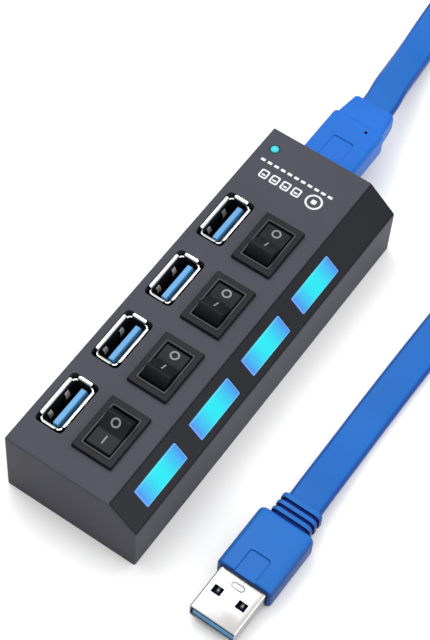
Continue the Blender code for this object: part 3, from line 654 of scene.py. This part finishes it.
def make_print():
    """Generic marks by the cable end: a badge, four port outlines and a dashed rule."""
    bm = bmesh.new()
    flat_ring(bm, *BADGE_PLACE, (4.4, 4.4, 2.2), (3.4, 3.4, 1.7), steps=10)
    flat_patch(bm, *BADGE_PLACE, 1.3, 1.3, 0.3)
    for k in range(4):
        y = OUTLINES_Y + OUTLINES_PITCH * k
        flat_ring(bm, OUTLINES_X, y, (2.6, 2.3, 0.5), (1.75, 1.45, 0.25))
        flat_patch(bm, OUTLINES_X - 0.25, y, 0.5, 1.0, 0.1)
    for k in range(11):
        flat_patch(bm, DASHES_X, DASHES_Y + DASHES_PITCH * k, 0.75, 1.25, 0.2)
    make_piece("printed_pictograms", bm, [PRINT_WHITE])


# -------------------- ports

PORT_SHEET = 0.3
PORT_HALF_X = 12.5 / 2 + PORT_SHEET / 2         # to the middle of the sheet
PORT_HALF_Y = 5.12 / 2 + PORT_SHEET / 2
PORT_CORNER = 0.9
PORT_LIPS = (14.3, 7.0)
LIP_BEND = 0.4          # radius of the bend under each flared lip
LIP_ANGLE = math.radians(79.0)
LIP_RISE = 0.35         # upright part of a lip, open at the shell's corners
LIP_TAPER = 0.3


def lip_profile(top):
    """How far out a lip's sheet stands at each height, from the foot of its bend to its edge."""
    sine = math.sin(LIP_ANGLE)
    cosine = math.cos(LIP_ANGLE)
    flare = min(PORT_LIPS[0] / 2 - PORT_HALF_X, PORT_LIPS[1] / 2 - PORT_HALF_Y)
    flat = (flare - LIP_BEND * (1 - cosine)) / sine
    foot = top - PORT_SHEET / 2 - flat * cosine - LIP_BEND * sine
    profile = [(0.0, foot)]
    for k in range(1, 6):
        angle = LIP_ANGLE * k / 5
        profile.append((LIP_BEND * (1 - math.cos(angle)), foot + LIP_BEND * math.sin(angle)))
    out, z = profile[-1]
    profile += [(out + flat * sine * share, z + flat * cosine * share) for share in (0.6, 1.0)]
    return profile


def raise_lips(bm, rim, profile):
    """Adds a lip along each straight side of a tube's rim, narrower at its edge."""
    corner = len(rim) // 4
    for side, direction in enumerate(((0, 1, 0), (-1, 0, 0), (0, -1, 0), (1, 0, 0))):
        first = rim[corner * side + corner - 1]
        second = rim[corner * (side + 1) % len(rim)]
        along = (second.co - first.co).normalized()
        previous = (first, second)
        for out, z in profile:
            taper = LIP_TAPER if (out, z) == profile[-1] else 0.0
            lift = Vector(direction) * out + Vector((0, 0, z - first.co.z))
            lifted = (bm.verts.new(first.co + lift + along * taper),
                      bm.verts.new(second.co + lift - along * taper))
            bm.faces.new((previous[0], previous[1], lifted[1], lifted[0]))
            previous = lifted


def thicken(piece, sheet):
    """Gives a surface the thickness of a sheet, half to each side."""
    mod = piece.modifiers.new("sheet", "SOLIDIFY")
    mod.thickness = sheet * MM
    mod.offset = 0.0
    mod.use_even_offset = True
    apply_modifiers(piece)


def paint_mouth_shade(shell, x, y, below):
    """Paints shade on the walls inside a port's mouth, up to a height, with the near-black cavity material.
    """
    shell.data.materials.append(PAINTED_SHADE_HOLE)
    for face in shell.data.polygons:
        faces_in = face.normal.dot(mm(x, y, 0.0) - face.center) > 0
        if faces_in and abs(face.normal.z) < 0.5 and face.center.z < below * MM:
            face.material_index = 1


def make_port_shell(index):
    """Plated shell: a rounded tube with four flared lips, open at its corners, and spring fingers."""
    low, high = node_box(f"usb_port_shell_{index}")
    x, y, _ = (low + high) / 2
    profile = lip_profile(high.z)
    lip_foot = profile[0][1]
    outline = (2 * PORT_HALF_X, 2 * PORT_HALF_Y, PORT_CORNER)
    rings = level_rings(x, y, [(*outline, z) for z in (low.z, TOP - 5.0, lip_foot - LIP_RISE)], 6)
    bm = bmesh.new()
    loft(bm, rings, cap=False)
    bm.verts.ensure_lookup_table()
    raise_lips(bm, bm.verts[2 * len(rings[0]):], profile)
    shell = make_piece(f"port_shell_{index}", bm, [PORT_STEEL],
                       replaces=[f"usb_port_shell_{index}"], sharp=45.0)
    thicken(shell, PORT_SHEET)
    paint_mouth_shade(shell, x, y, lip_foot + 0.1)
    cut_spring_windows(shell, x, y)
    make_spring_fingers(index, x, y)


SPRING_TOP = 1.9       # below the top face
SPRING_LENGTH = 5.2
SPRING_WIDTH = 1.9
SPRING_BOW = 0.62      # how far a finger stands into the mouth
SPRING_SKEW = 2.0      # above 1, the bow is nearer the finger's upper end
SPRING_SHEET = 0.22
SPRING_PLACES = ((-3.1, 1), (3.1, 1), (-3.1, -1), (3.1, -1))       # x, and the side of the long wall


def cut_spring_windows(shell, x, y):
    """Cuts the slots that the fingers stand in."""
    half_x = SPRING_WIDTH / 2 + 0.3
    half_y = 0.5
    low_z = TOP - SPRING_TOP - SPRING_LENGTH - 0.4
    cutters = []
    for px, side in SPRING_PLACES:
        foot_x = x + px
        foot_y = y + side * PORT_HALF_Y
        bm = bmesh.new()
        block(bm, (foot_x - half_x, foot_y - half_y, low_z),
              (foot_x + half_x, foot_y + half_y, TOP - SPRING_TOP))
        cutters.append((bm, PORT_STEEL))
    carve(shell, cutters)


def make_spring_fingers(index, x, y):
    """Tapered fingers that bow into the mouth, all one piece of mesh a port."""
    bm = bmesh.new()
    steps = 10
    for px, side in SPRING_PLACES:
        rings = []
        for k in range(steps + 1):
            t = k / steps
            bow = SPRING_BOW * math.sin(math.pi * t ** SPRING_SKEW)
            z = TOP - SPRING_TOP - SPRING_LENGTH - 0.5 + (SPRING_LENGTH + 0.2) * t
            middle = Vector((x + px, y + side * (PORT_HALF_Y - bow), z))
            half = Vector((side * SPRING_WIDTH / 2 * (1.0 - 0.35 * t), 0.0, 0.0))
            thin = Vector((0.0, -side * SPRING_SHEET / 2, 0.0))
            rings.append([middle - half - thin, middle + half - thin, middle + half + thin,
                          middle - half + thin])
        loft(bm, rings)
    make_piece(f"port_springs_{index}", bm, [SPRING_STEEL], sharp=50.0)


LONG_CONTACTS = (-3.5, -1.0, 1.0, 3.5)          # across a port or plug
SHORT_CONTACTS = (-4.0, -2.0, 0.0, 2.0, 4.0)
TONGUE = (11.0, 1.84)
TONGUE_SHIFT = -0.85    # of the tongue from the middle of the port


def make_port_tongue(index):
    """Blue moulding: base, tongue with a broken tip, and the nine contacts laid in it."""
    low, high = node_box(f"usb_port_insulator_{index}")
    x, y, _ = (low + high) / 2
    tip = high.z
    base_top = low.z + 3.4
    tongue_y = y + TONGUE_SHIFT
    width, thick = TONGUE
    bm = bmesh.new()
    loft(bm, level_rings(x, y, ((12.1, 4.75, 0.6, low.z), (12.1, 4.75, 0.6, base_top - 0.2),
                                (11.8, 4.45, 0.5, base_top))))
    rings = []
    for shift, *section in ((0.0, width, thick, 0.12, base_top - 1.0), (0.0, width, thick, 0.12, tip - 0.9),
                            (0.16, width - 0.3, thick - 0.5, 0.12, tip - 0.1),
                            (0.18, width - 0.5, thick - 0.65, 0.1, tip)):
        rings += level_rings(x, tongue_y + shift, [section])
    loft(bm, rings)
    make_piece(f"port_tongue_{index}", bm, [TONGUE_BLUE],
               replaces=[f"usb_port_insulator_{index}"])
    make_port_contacts(index, x, tongue_y + thick / 2, tip)


def make_port_contacts(index, x, face_y, tip):
    """Four long contacts and, nearer the tip, five short ones, on the tongue's open face."""
    low_y = face_y - 0.1
    hump = ((-11.0, 0.05), (-6.5, 0.05), (-5.4, 0.32), (-4.6, 0.36), (-3.8, 0.12), (-3.6, 0.05))
    bm = bmesh.new()
    for px in LONG_CONTACTS:
        left = x + px - 0.5
        right = x + px + 0.5
        rings = []
        for z, out in hump:
            rings.append([Vector((left, low_y, tip + z)), Vector((right, low_y, tip + z)),
                          Vector((right, face_y + out, tip + z)), Vector((left, face_y + out, tip + z))])
        loft(bm, rings)
    for px in SHORT_CONTACTS:
        block(bm, (x + px - 0.35, low_y, tip - 2.6), (x + px + 0.35, face_y + 0.05, tip - 0.9))
    make_piece(f"port_contacts_{index}", bm, [CONTACT_GOLD], sharp=25.0)


# -------------------- rocker switches

ROCKER_TILT = math.radians(15.5)
ROCKER_FACE = 4.35      # along one half of the top, from the valley to the crest
ROCKER_RISE = 2.65      # of the valley above the hinge
ROCKER_WIDTH = 6.5
ROCKER_HEEL = math.radians(82.0)        # from upright to the end of the round heel
STEM_END = 5.0          # below the hinge
FRAME_BODY = (13.4, 8.8)
FRAME_OPENING = (11.2, 7.0)
FRAME_WELL = (11.9, 7.0)
O_RADII = (1.18, 0.76)
I_SHAPE = (2.3, 0.36, 0.12)
O_PLACE = 2.7           # both from the valley
I_PLACE = 1.9
MARK_LOW = -0.1
MARK_HIGH = 0.035


def make_switch_frame(index):
    """Flanged frame: broken edge painted dark as shade, flat flange, and a fine lip round the opening
    painted paler as a highlight.
    """
    low, high = node_box(f"switch_frame_{index}")
    x, y, _ = (low + high) / 2
    w, d = high.x - low.x, high.y - low.y
    top = high.z
    flange_low = TOP + 0.06
    body_w, body_d = FRAME_BODY
    open_w, open_d = FRAME_OPENING
    well_w, well_d = FRAME_WELL
    profile = ((body_w, body_d, 0.5, low.z), (body_w, body_d, 0.5, flange_low),
               (w, d, 0.35, flange_low), (w, d, 0.35, top - 0.5), (w - 0.12, d - 0.12, 0.35, top - 0.3),
               (w - 0.5, d - 0.5, 0.35, top - 0.14), (open_w + 1.3, open_d + 1.3, 0.5, top - 0.16),
               (open_w + 1.0, open_d + 1.0, 0.45, top - 0.04), (open_w + 0.7, open_d + 0.7, 0.4, top),
               (open_w + 0.2, open_d + 0.2, 0.3, top - 0.03), (open_w, open_d, 0.25, top - 0.2),
               (open_w, open_d, 0.25, top - 0.8), (well_w, well_d, 0.25, top - 0.85),
               (well_w, well_d, 0.25, low.z + 1.2))
    rings = level_rings(x, y, profile)
    bm = bmesh.new()
    faces = loft(bm, rings)
    around = len(rings[0])
    # Bands 3 and 4, the broken outer edge, take painted shade; bands 7 and 8, the lip, a painted highlight.
    for band, material in ((3, 1), (4, 1), (7, 2), (8, 2)):
        for face in faces[band * around:(band + 1) * around]:
            face.material_index = material
    make_piece(f"switch_bezel_{index}", bm, [FRAME_BLACK, FRAME_EDGE_SHADE, FRAME_LIP_HIGHLIGHT],
               replaces=[f"switch_frame_{index}"], sharp=28.0)


def rocker_frame(index):
    """Hinge axis of a rocker, with its tilt at rest, as the record states them."""
    joints = frame["record"]["behaviour"]["joints"]
    joint = next(entry for entry in joints if entry["name"] == f"switch_{index}_rock")
    hinge = Vector(joint["pos_m"]) / MM
    tilt = ROCKER_TILT if joint["range_deg"][0] < 0 else -ROCKER_TILT
    return Matrix.Translation(hinge) @ Matrix.Rotation(tilt, 4, "Y")


def rocker_outline():
    """Side view of the rocker about its hinge, from one heel over the valley to the other."""
    crest = Vector((ROCKER_FACE * math.cos(ROCKER_TILT),
                    ROCKER_RISE + ROCKER_FACE * math.sin(ROCKER_TILT)))
    radius = crest.length
    start = math.atan2(crest.x, crest.y)
    right = []
    for k in range(1, 7):
        u = k / 6
        fill = 0.05 * math.exp(-(u * ROCKER_FACE / 0.8) ** 2)
        right.append((crest.x * u, ROCKER_RISE + (crest.y - ROCKER_RISE) * u + fill))
    for k in range(1, 9):
        a = start + (ROCKER_HEEL - start) * k / 8
        right.append((radius * math.sin(a), radius * math.cos(a)))
    right += [(3.3, -2.6), (0.7, -2.9), (0.7, -STEM_END)]
    left = [(-px, pz) for px, pz in reversed(right)]
    return [(0.0, ROCKER_RISE + 0.06)] + right + left


def make_rocker(index):
    place = rocker_frame(index)
    bm = bmesh.new()
    outline = rocker_outline()
    rings = [[Vector((px, side * ROCKER_WIDTH / 2, pz)) for px, pz in outline] for side in (-1, 1)]
    loft(bm, rings)
    bmesh.ops.transform(bm, matrix=place, verts=bm.verts)
    rocker = make_piece(f"rocker_cap_{index}", bm, [ROCKER_BLACK],
                        body=f"rocker_{index}", replaces=[f"switch_rocker_{index}"], sharp=28.0)
    bevel(rocker, 0.22, angle=24.0)
    make_rocker_marks(index, place)


def face_frame(side, distance):
    """Place on one half of the rocker's top: side +1 is towards the cable, distance from the valley."""
    point = Vector((side * distance * math.cos(ROCKER_TILT), 0.0,
                    ROCKER_RISE + distance * math.sin(ROCKER_TILT)))
    return Matrix.Translation(point) @ Matrix.Rotation(-side * ROCKER_TILT, 4, "Y")


def make_rocker_marks(index, place):
    """Inlaid O on the cable-side half and I on the other."""
    outer, inner = O_RADII
    bm = bmesh.new()
    rings = round_rings(((outer, MARK_LOW), (outer, MARK_HIGH), (inner, MARK_HIGH), (inner, MARK_LOW)))
    loft(bm, rings + rings[:1], cap=False)
    bmesh.ops.transform(bm, matrix=face_frame(1, O_PLACE), verts=bm.verts)
    start = len(bm.verts)
    loft(bm, level_rings(0.0, 0.0, ((*I_SHAPE, MARK_LOW), (*I_SHAPE, MARK_HIGH))))
    bm.verts.ensure_lookup_table()
    bmesh.ops.transform(bm, matrix=face_frame(-1, I_PLACE), verts=bm.verts[start:])
    bmesh.ops.transform(bm, matrix=place, verts=bm.verts)
    make_piece(f"rocker_marks_{index}", bm, [MARK_GREY], body=f"rocker_{index}")


# -------------------- mouldings on the cable

CASE_WALL = 2.0
OUTLET_Y = 4.2
OUTLET_Z = 10.4
OUTLET_BODY = (14.6, 7.7)
OUTLET_NECK = (11.8, 6.6)
OUTLET_NECK_LENGTH = 7.2
OUTLET_GRIP = (17.4, 9.6)
PANEL_DEPTH = 0.3
PLUG_TIP = (-56.2, -40.35, 3.8)
PLUG_TURN = math.radians(-0.9)
PLUG_SHELL = (12.0, 4.5)
PLUG_SHEET = 0.32
PLUG_FACE = 11.9              # front of the overmould, behind the shell's mouth
PLUG_BODY = (14.5, 7.6)
PLUG_BODY_LENGTH = 17.2
PLUG_NECK = (10.5, 6.0)
PLUG_NECK_LENGTH = 6.2
NECK_RINGS = 3
RING_GROOVE = 0.85
RING_PITCH = 1.9
RING_DEPTH = 0.6


def panel_cutter(place, x_low, x_high, width, top, rise):
    """A recess in the top of a moulding, open at its low end, its floor rising to that end by an angle."""
    length = x_high - x_low
    middle = (x_low + x_high) / 2
    tilt = Matrix.Translation((x_high, 0, top)) @ Matrix.Rotation(rise, 4, "Y")
    tilt = tilt @ Matrix.Translation((-x_high, 0, -top))
    profile = [(length - inset, width - inset, 0.9 - inset / 2, z)
               for inset, z in ((0.35, top - PANEL_DEPTH), (0.0, top + 0.05), (0.0, top + 1.0))]
    bm = bmesh.new()
    loft(bm, level_rings(middle, 0.0, profile))
    bmesh.ops.transform(bm, matrix=place @ tilt, verts=bm.verts)
    return bm


def make_outlet():
    """Moulded cable outlet: grip inside the wall, soft block outside, and a neck."""
    low, high = node_box("cable_outlet")
    place = Matrix.Translation((0.0, OUTLET_Y, OUTLET_Z))
    shoulder = high.x - OUTLET_NECK_LENGTH
    grip_end = HALF_LENGTH - CASE_WALL - 0.3
    sections = [(low.x, *OUTLET_GRIP, 0.8), (grip_end, *OUTLET_GRIP, 0.8),
                (grip_end + 0.01, *OUTLET_BODY, 1.3)]
    sections += far_end(shoulder, *OUTLET_BODY, 1.4, 0.8)
    sections += far_end(high.x, *OUTLET_NECK, 1.7, 0.8)
    bm = bmesh.new()
    loft(bm, bar_rings(sections, place))
    outlet = make_piece("outlet_moulding", bm, [MOULDING_BLUE],
                        replaces=["cable_outlet"], sharp=40.0)
    top = OUTLET_BODY[1] / 2
    # The pinhole's walls take painted shade.
    pinhole = bmesh.new()
    bmesh.ops.create_cone(pinhole, cap_ends=True, segments=24, radius1=0.42, radius2=0.42, depth=3.0,
                          matrix=place @ Matrix.Translation((shoulder - 2.35, -3.2, top)))
    panel = panel_cutter(place, HALF_LENGTH - 1.0, shoulder - 7.2, width=6.1, top=top, rise=0.018)
    carve(outlet, [(panel, MOULDING_BLUE), (pinhole, PAINTED_SHADE_HOLE)])


def plug_frame():
    """The plug's own frame: origin at its mouth, +X towards the cable."""
    return Matrix.Translation(PLUG_TIP) @ Matrix.Rotation(PLUG_TURN, 4, "Z")


def ringed_neck(start, end, width, tall, radius):
    """Sections of a neck with square rings cut round it, and where the grooves lie."""
    sections = []
    grooves = []
    x = start
    deep = (width - 2 * RING_DEPTH, tall - 2 * RING_DEPTH, radius - 0.3)
    for _ in range(NECK_RINGS):
        sections += [(x, *deep), (x + RING_GROOVE, *deep)]
        sections += [(x + RING_GROOVE + 0.02, width - 0.14, tall - 0.14, radius),
                     (x + RING_GROOVE + 0.18, width, tall, radius),
                     (x + RING_PITCH - 0.18, width, tall, radius),
                     (x + RING_PITCH - 0.02, width - 0.14, tall - 0.14, radius)]
        grooves.append((x - 0.03, x + RING_GROOVE + 0.015))
        x += RING_PITCH
    sections[-2:] = [(end - 0.4, width, tall, radius), (end - 0.12, width - 0.25, tall - 0.25, radius),
                     (end, width - 0.8, tall - 0.8, radius - 0.3)]
    return sections, grooves


def make_plug_moulding():
    """Overmould: soft block, a recessed panel open to the shell, and a neck with three deep rings."""
    place = plug_frame()
    shoulder = PLUG_FACE + PLUG_BODY_LENGTH
    end = shoulder + PLUG_NECK_LENGTH
    sections = near_end(PLUG_FACE, *PLUG_BODY, 1.9, 0.6) + far_end(shoulder, *PLUG_BODY, 1.9, 1.2)
    neck, grooves = ringed_neck(shoulder + 0.05, end, *PLUG_NECK, 1.7)
    bm = bmesh.new()
    loft(bm, bar_rings(sections + neck, place))
    inverse = place.inverted()
    # Faces inside the grooves take painted shadow.
    for face in bm.faces:
        middle = (inverse @ face.calc_center_median()).x
        if any(low < middle < high for low, high in grooves):
            face.material_index = 1
    moulding = make_piece("plug_moulding", bm, [PLUG_BLUE_SIDE_SHADE, GROOVE_SHADOW_BLUE],
                          replaces=["plug_overmould"], sharp=40.0)
    panel = panel_cutter(place, PLUG_FACE - 1.0, PLUG_FACE + 6.7, width=5.6, top=PLUG_BODY[1] / 2,
                         rise=0.004)
    # The pocket round the shell takes painted shade on its walls.
    around_shell = (PLUG_SHELL[0] + 0.3, PLUG_SHELL[1] + 0.3, 0.7)
    pocket = bmesh.new()
    loft(pocket, bar_rings([(PLUG_FACE - 1.0, *around_shell), (PLUG_FACE + 4.1, *around_shell)], place))
    carve(moulding, [(panel, PLUG_BLUE_SIDE_SHADE), (pocket, PAINTED_SHADE_HOLE)])


PLUG_WINDOWS_X = (5.45, 7.55)
PLUG_WINDOWS_Y = 3.2
PLUG_WINDOWS_HALF = 1.2
PLUG_OBLONG_X = 9.75


def make_plug_shell():
    """Folded steel shell: open mouth and two square windows in each broad side."""
    place = plug_frame()
    wide, tall = PLUG_SHELL
    inner_wide = wide - 2 * PLUG_SHEET
    inner_tall = tall - 2 * PLUG_SHEET
    length = PLUG_FACE + 3.7
    sections = [(length, wide, tall, 0.6), (0.22, wide, tall, 0.6), (0.12, wide - 0.08, tall - 0.08, 0.55),
                (0.0, wide - 0.3, tall - 0.3, 0.5), (0.02, inner_wide + 0.1, inner_tall + 0.1, 0.4),
                (0.22, inner_wide, inner_tall, 0.35), (length - PLUG_SHEET, inner_wide, inner_tall, 0.35)]
    bm = bmesh.new()
    loft(bm, bar_rings(sections, place))
    shell = make_piece("plug_steel_shell", bm, [PLUG_STEEL],
                       replaces=["plug_shell"], sharp=30.0)
    start, end = PLUG_WINDOWS_X
    cutters = []
    for side in (1, -1):
        for z in (tall / 2, -tall / 2):
            low_y = side * PLUG_WINDOWS_Y - PLUG_WINDOWS_HALF
            high_y = side * PLUG_WINDOWS_Y + PLUG_WINDOWS_HALF
            window = bmesh.new()
            block(window, (start, low_y, z - 0.6), (end, high_y, z + 0.6), place)
            cutters.append((window, PLUG_STEEL))
    carve(shell, cutters)
    make_plug_details(place)


def make_plug_details(place):
    """Latch tabs behind the top's windows and the raised oblong on the shell's joint, both in a darker
    steel that is painted shade.
    """
    top = PLUG_SHELL[1] / 2
    bm = bmesh.new()
    for side in (1, -1):
        rings = []
        for k in range(7):
            t = k / 6
            x = 7.4 - 1.2 * t
            z = top - PLUG_SHEET - 0.15 - 0.35 * math.sin(math.pi * t)
            rings.append([place @ Vector((x, side * PLUG_WINDOWS_Y + across, z + up))
                          for across, up in ((-0.3, -0.08), (0.3, -0.08), (0.3, 0.08), (-0.3, 0.08))])
        loft(bm, rings)
    outline = ((3.4, 1.6, 0.8, -0.005), (3.35, 1.55, 0.77, 0.015), (2.85, 1.05, 0.52, 0.015),
               (2.8, 1.0, 0.5, -0.005))
    rings = [[place @ Vector((PLUG_OBLONG_X + py, px, top + z)) for px, py in rounded_rect(w, d, r, 8)]
             for w, d, r, z in outline]
    loft(bm, rings + rings[:1], cap=False)
    make_piece("plug_shell_details", bm, [PAINTED_SHADE_STEEL], sharp=50.0)


def make_plug_plate():
    """Contact plate in the mouth, lit on its front edge and in the shell's shade behind it."""
    place = plug_frame()
    low_z = -PLUG_SHELL[1] / 2 + 0.5
    plate_place = place @ Matrix.Translation((0, 0, low_z + 0.93))
    rings = bar_rings([(0.5, 10.7, 1.55, 0.1), (0.62, 10.9, 1.75, 0.12), (12.6, 10.9, 1.85, 0.12)],
                      plate_place)
    bm = bmesh.new()
    faces = loft(bm, rings)
    around = len(rings[0])
    for face in faces[around:2 * around] + faces[-1:]:
        face.material_index = 1
    make_piece("plug_plate", bm, [PORT_BLUE, PLATE_SHADE], replaces=["plug_insulator"])
    make_plug_contacts(place, low_z + 1.855)


def make_plug_contacts(place, top):
    """Four long contacts by the mouth and five short ones behind them, on the plate's top."""
    bm = bmesh.new()
    for y in LONG_CONTACTS:
        block(bm, (1.0, y - 0.5, top - 0.1), (5.2, y + 0.5, top + 0.06), place)
    for y in SHORT_CONTACTS:
        block(bm, (8.4, y - 0.35, top - 0.1), (10.8, y + 0.35, top + 0.25), place)
    make_piece("plug_contacts", bm, [CONTACT_GOLD], sharp=25.0)


# -------------------- flat cable

CABLE_WIDTH = 8.8
CABLE_THICK = 2.9
# x, y, z of the cable's middle and, in degrees, how far it has rolled towards its edge
CABLE_ROUTE = (
    (79.4, 4.2, 10.4, 0), (83.0, 4.3, 10.35, 0), (89.0, 5.3, 9.5, 0), (95.5, 6.3, 7.4, 0),
    (103.0, 7.5, 4.8, 0), (111.0, 8.7, 2.7, 0), (119.0, 9.6, 2.0, 2), (127.0, 9.8, 2.6, 18),
    (135.8, 8.5, 3.8, 45), (144.8, 4.9, 4.45, 68), (152.6, -1.1, 4.7, 78), (158.3, -8.9, 4.7, 80),
    (160.6, -18.1, 4.7, 80), (158.8, -27.3, 4.7, 80), (153.4, -35.2, 4.7, 78),
    (145.6, -41.2, 4.45, 68), (136.6, -44.8, 3.8, 45), (127.0, -45.9, 2.6, 18),
    (118.0, -45.4, 1.9, 2), (104.0, -44.0, 1.7, 0), (88.0, -42.7, 1.6, 0), (70.0, -41.7, 1.6, 0),
    (50.0, -41.0, 1.6, 0), (30.0, -40.6, 1.6, 0), (12.0, -40.4, 1.6, 0), (0.0, -40.45, 1.9, 0),
    (-8.5, -40.65, 2.9, 0), (-15.5, -40.82, 3.7, 0), (-20.6, -40.9, 3.8, 0),
)


def catmull_rom(before, start, end, after, t):
    return 0.5 * ((2 * start) + (end - before) * t + (2 * before - 5 * start + 4 * end - after) * t * t
                  + (3 * start - before - 3 * end + after) * t * t * t)


def smooth_route(route, spacing):
    """Evenly spaced points (x, y, z, bank) on a smooth curve through the route, and its length."""
    knots = [Vector(entry) for entry in route]
    knots = [2 * knots[0] - knots[1]] + knots + [2 * knots[-1] - knots[-2]]
    fine = []
    for i in range(1, len(knots) - 2):
        for step in range(24):
            fine.append(catmull_rom(knots[i - 1], knots[i], knots[i + 1], knots[i + 2], step / 24))
    fine.append(knots[-2])
    run = [0.0]
    for a, b in zip(fine, fine[1:]):
        run.append(run[-1] + (b - a).xyz.length)
    count = round(run[-1] / spacing)
    points = []
    k = 0
    for n in range(count + 1):
        target = run[-1] * n / count
        while k < len(fine) - 2 and run[k + 1] < target:
            k += 1
        share = (target - run[k]) / (run[k + 1] - run[k])
        points.append(fine[k].lerp(fine[k + 1], share))
    return points, run[-1]


def cable_rings(points, section):
    """The cable's section at every point, flat side up and then rolled by the point's bank."""
    rings = []
    for k, point in enumerate(points):
        tangent = (points[min(k + 1, len(points) - 1)] - points[max(k - 1, 0)]).xyz.normalized()
        across = Vector((-tangent.y, tangent.x, 0.0)).normalized()
        upright = tangent.cross(across)
        turn = Matrix.Rotation(math.radians(point.w), 3, tangent)
        across = turn @ across
        upright = turn @ upright
        rings.append([point.xyz + across * px + upright * py for px, py in section])
    return rings


def make_cable():
    """Flat jacket from the outlet's neck to the plug's, with its section kept as a UV for its edges."""
    points, length = smooth_route(CABLE_ROUTE, 2.0)
    section = rounded_rect(CABLE_WIDTH, CABLE_THICK, 1.25)
    bm = bmesh.new()
    loft(bm, cable_rings(points, section))
    bm.verts.index_update()
    layer = bm.loops.layers.uv.new("section")
    for face in bm.faces:
        for loop in face.loops:
            loop[layer].uv = section[loop.vert.index % len(section)]
    cable = make_piece("cable_jacket", bm, [JACKET_BLUE_EDGE_SHADE],
                       replaces=["flat_cable"], sharp=60.0)


# -------------------- assembly

finish_case()
use_material("circuit_board", BOARD_GREEN)
use_material("hub_controller", CHIP_BLACK)
use_material("clock_crystal", PLATED)
use_material("supply_capacitor", PLATED)
use_material("status_led", LED_WHITE)
for station in STATIONS:
    use_material(f"window_led_{station}", LED_WHITE)
    use_material(f"contact_lever_{station}", CONTACT_GOLD)
    use_material(f"pivot_terminal_{station}", CONTACT_GOLD)
    use_material(f"load_terminal_{station}", CONTACT_GOLD)
    make_lens(station)
    make_port_shell(station)
    make_port_tongue(station)
    make_switch_frame(station)
    make_rocker(station)
make_status_dot()
make_print()
make_outlet()
make_plug_moulding()
make_plug_shell()
make_plug_plate()
make_cable()
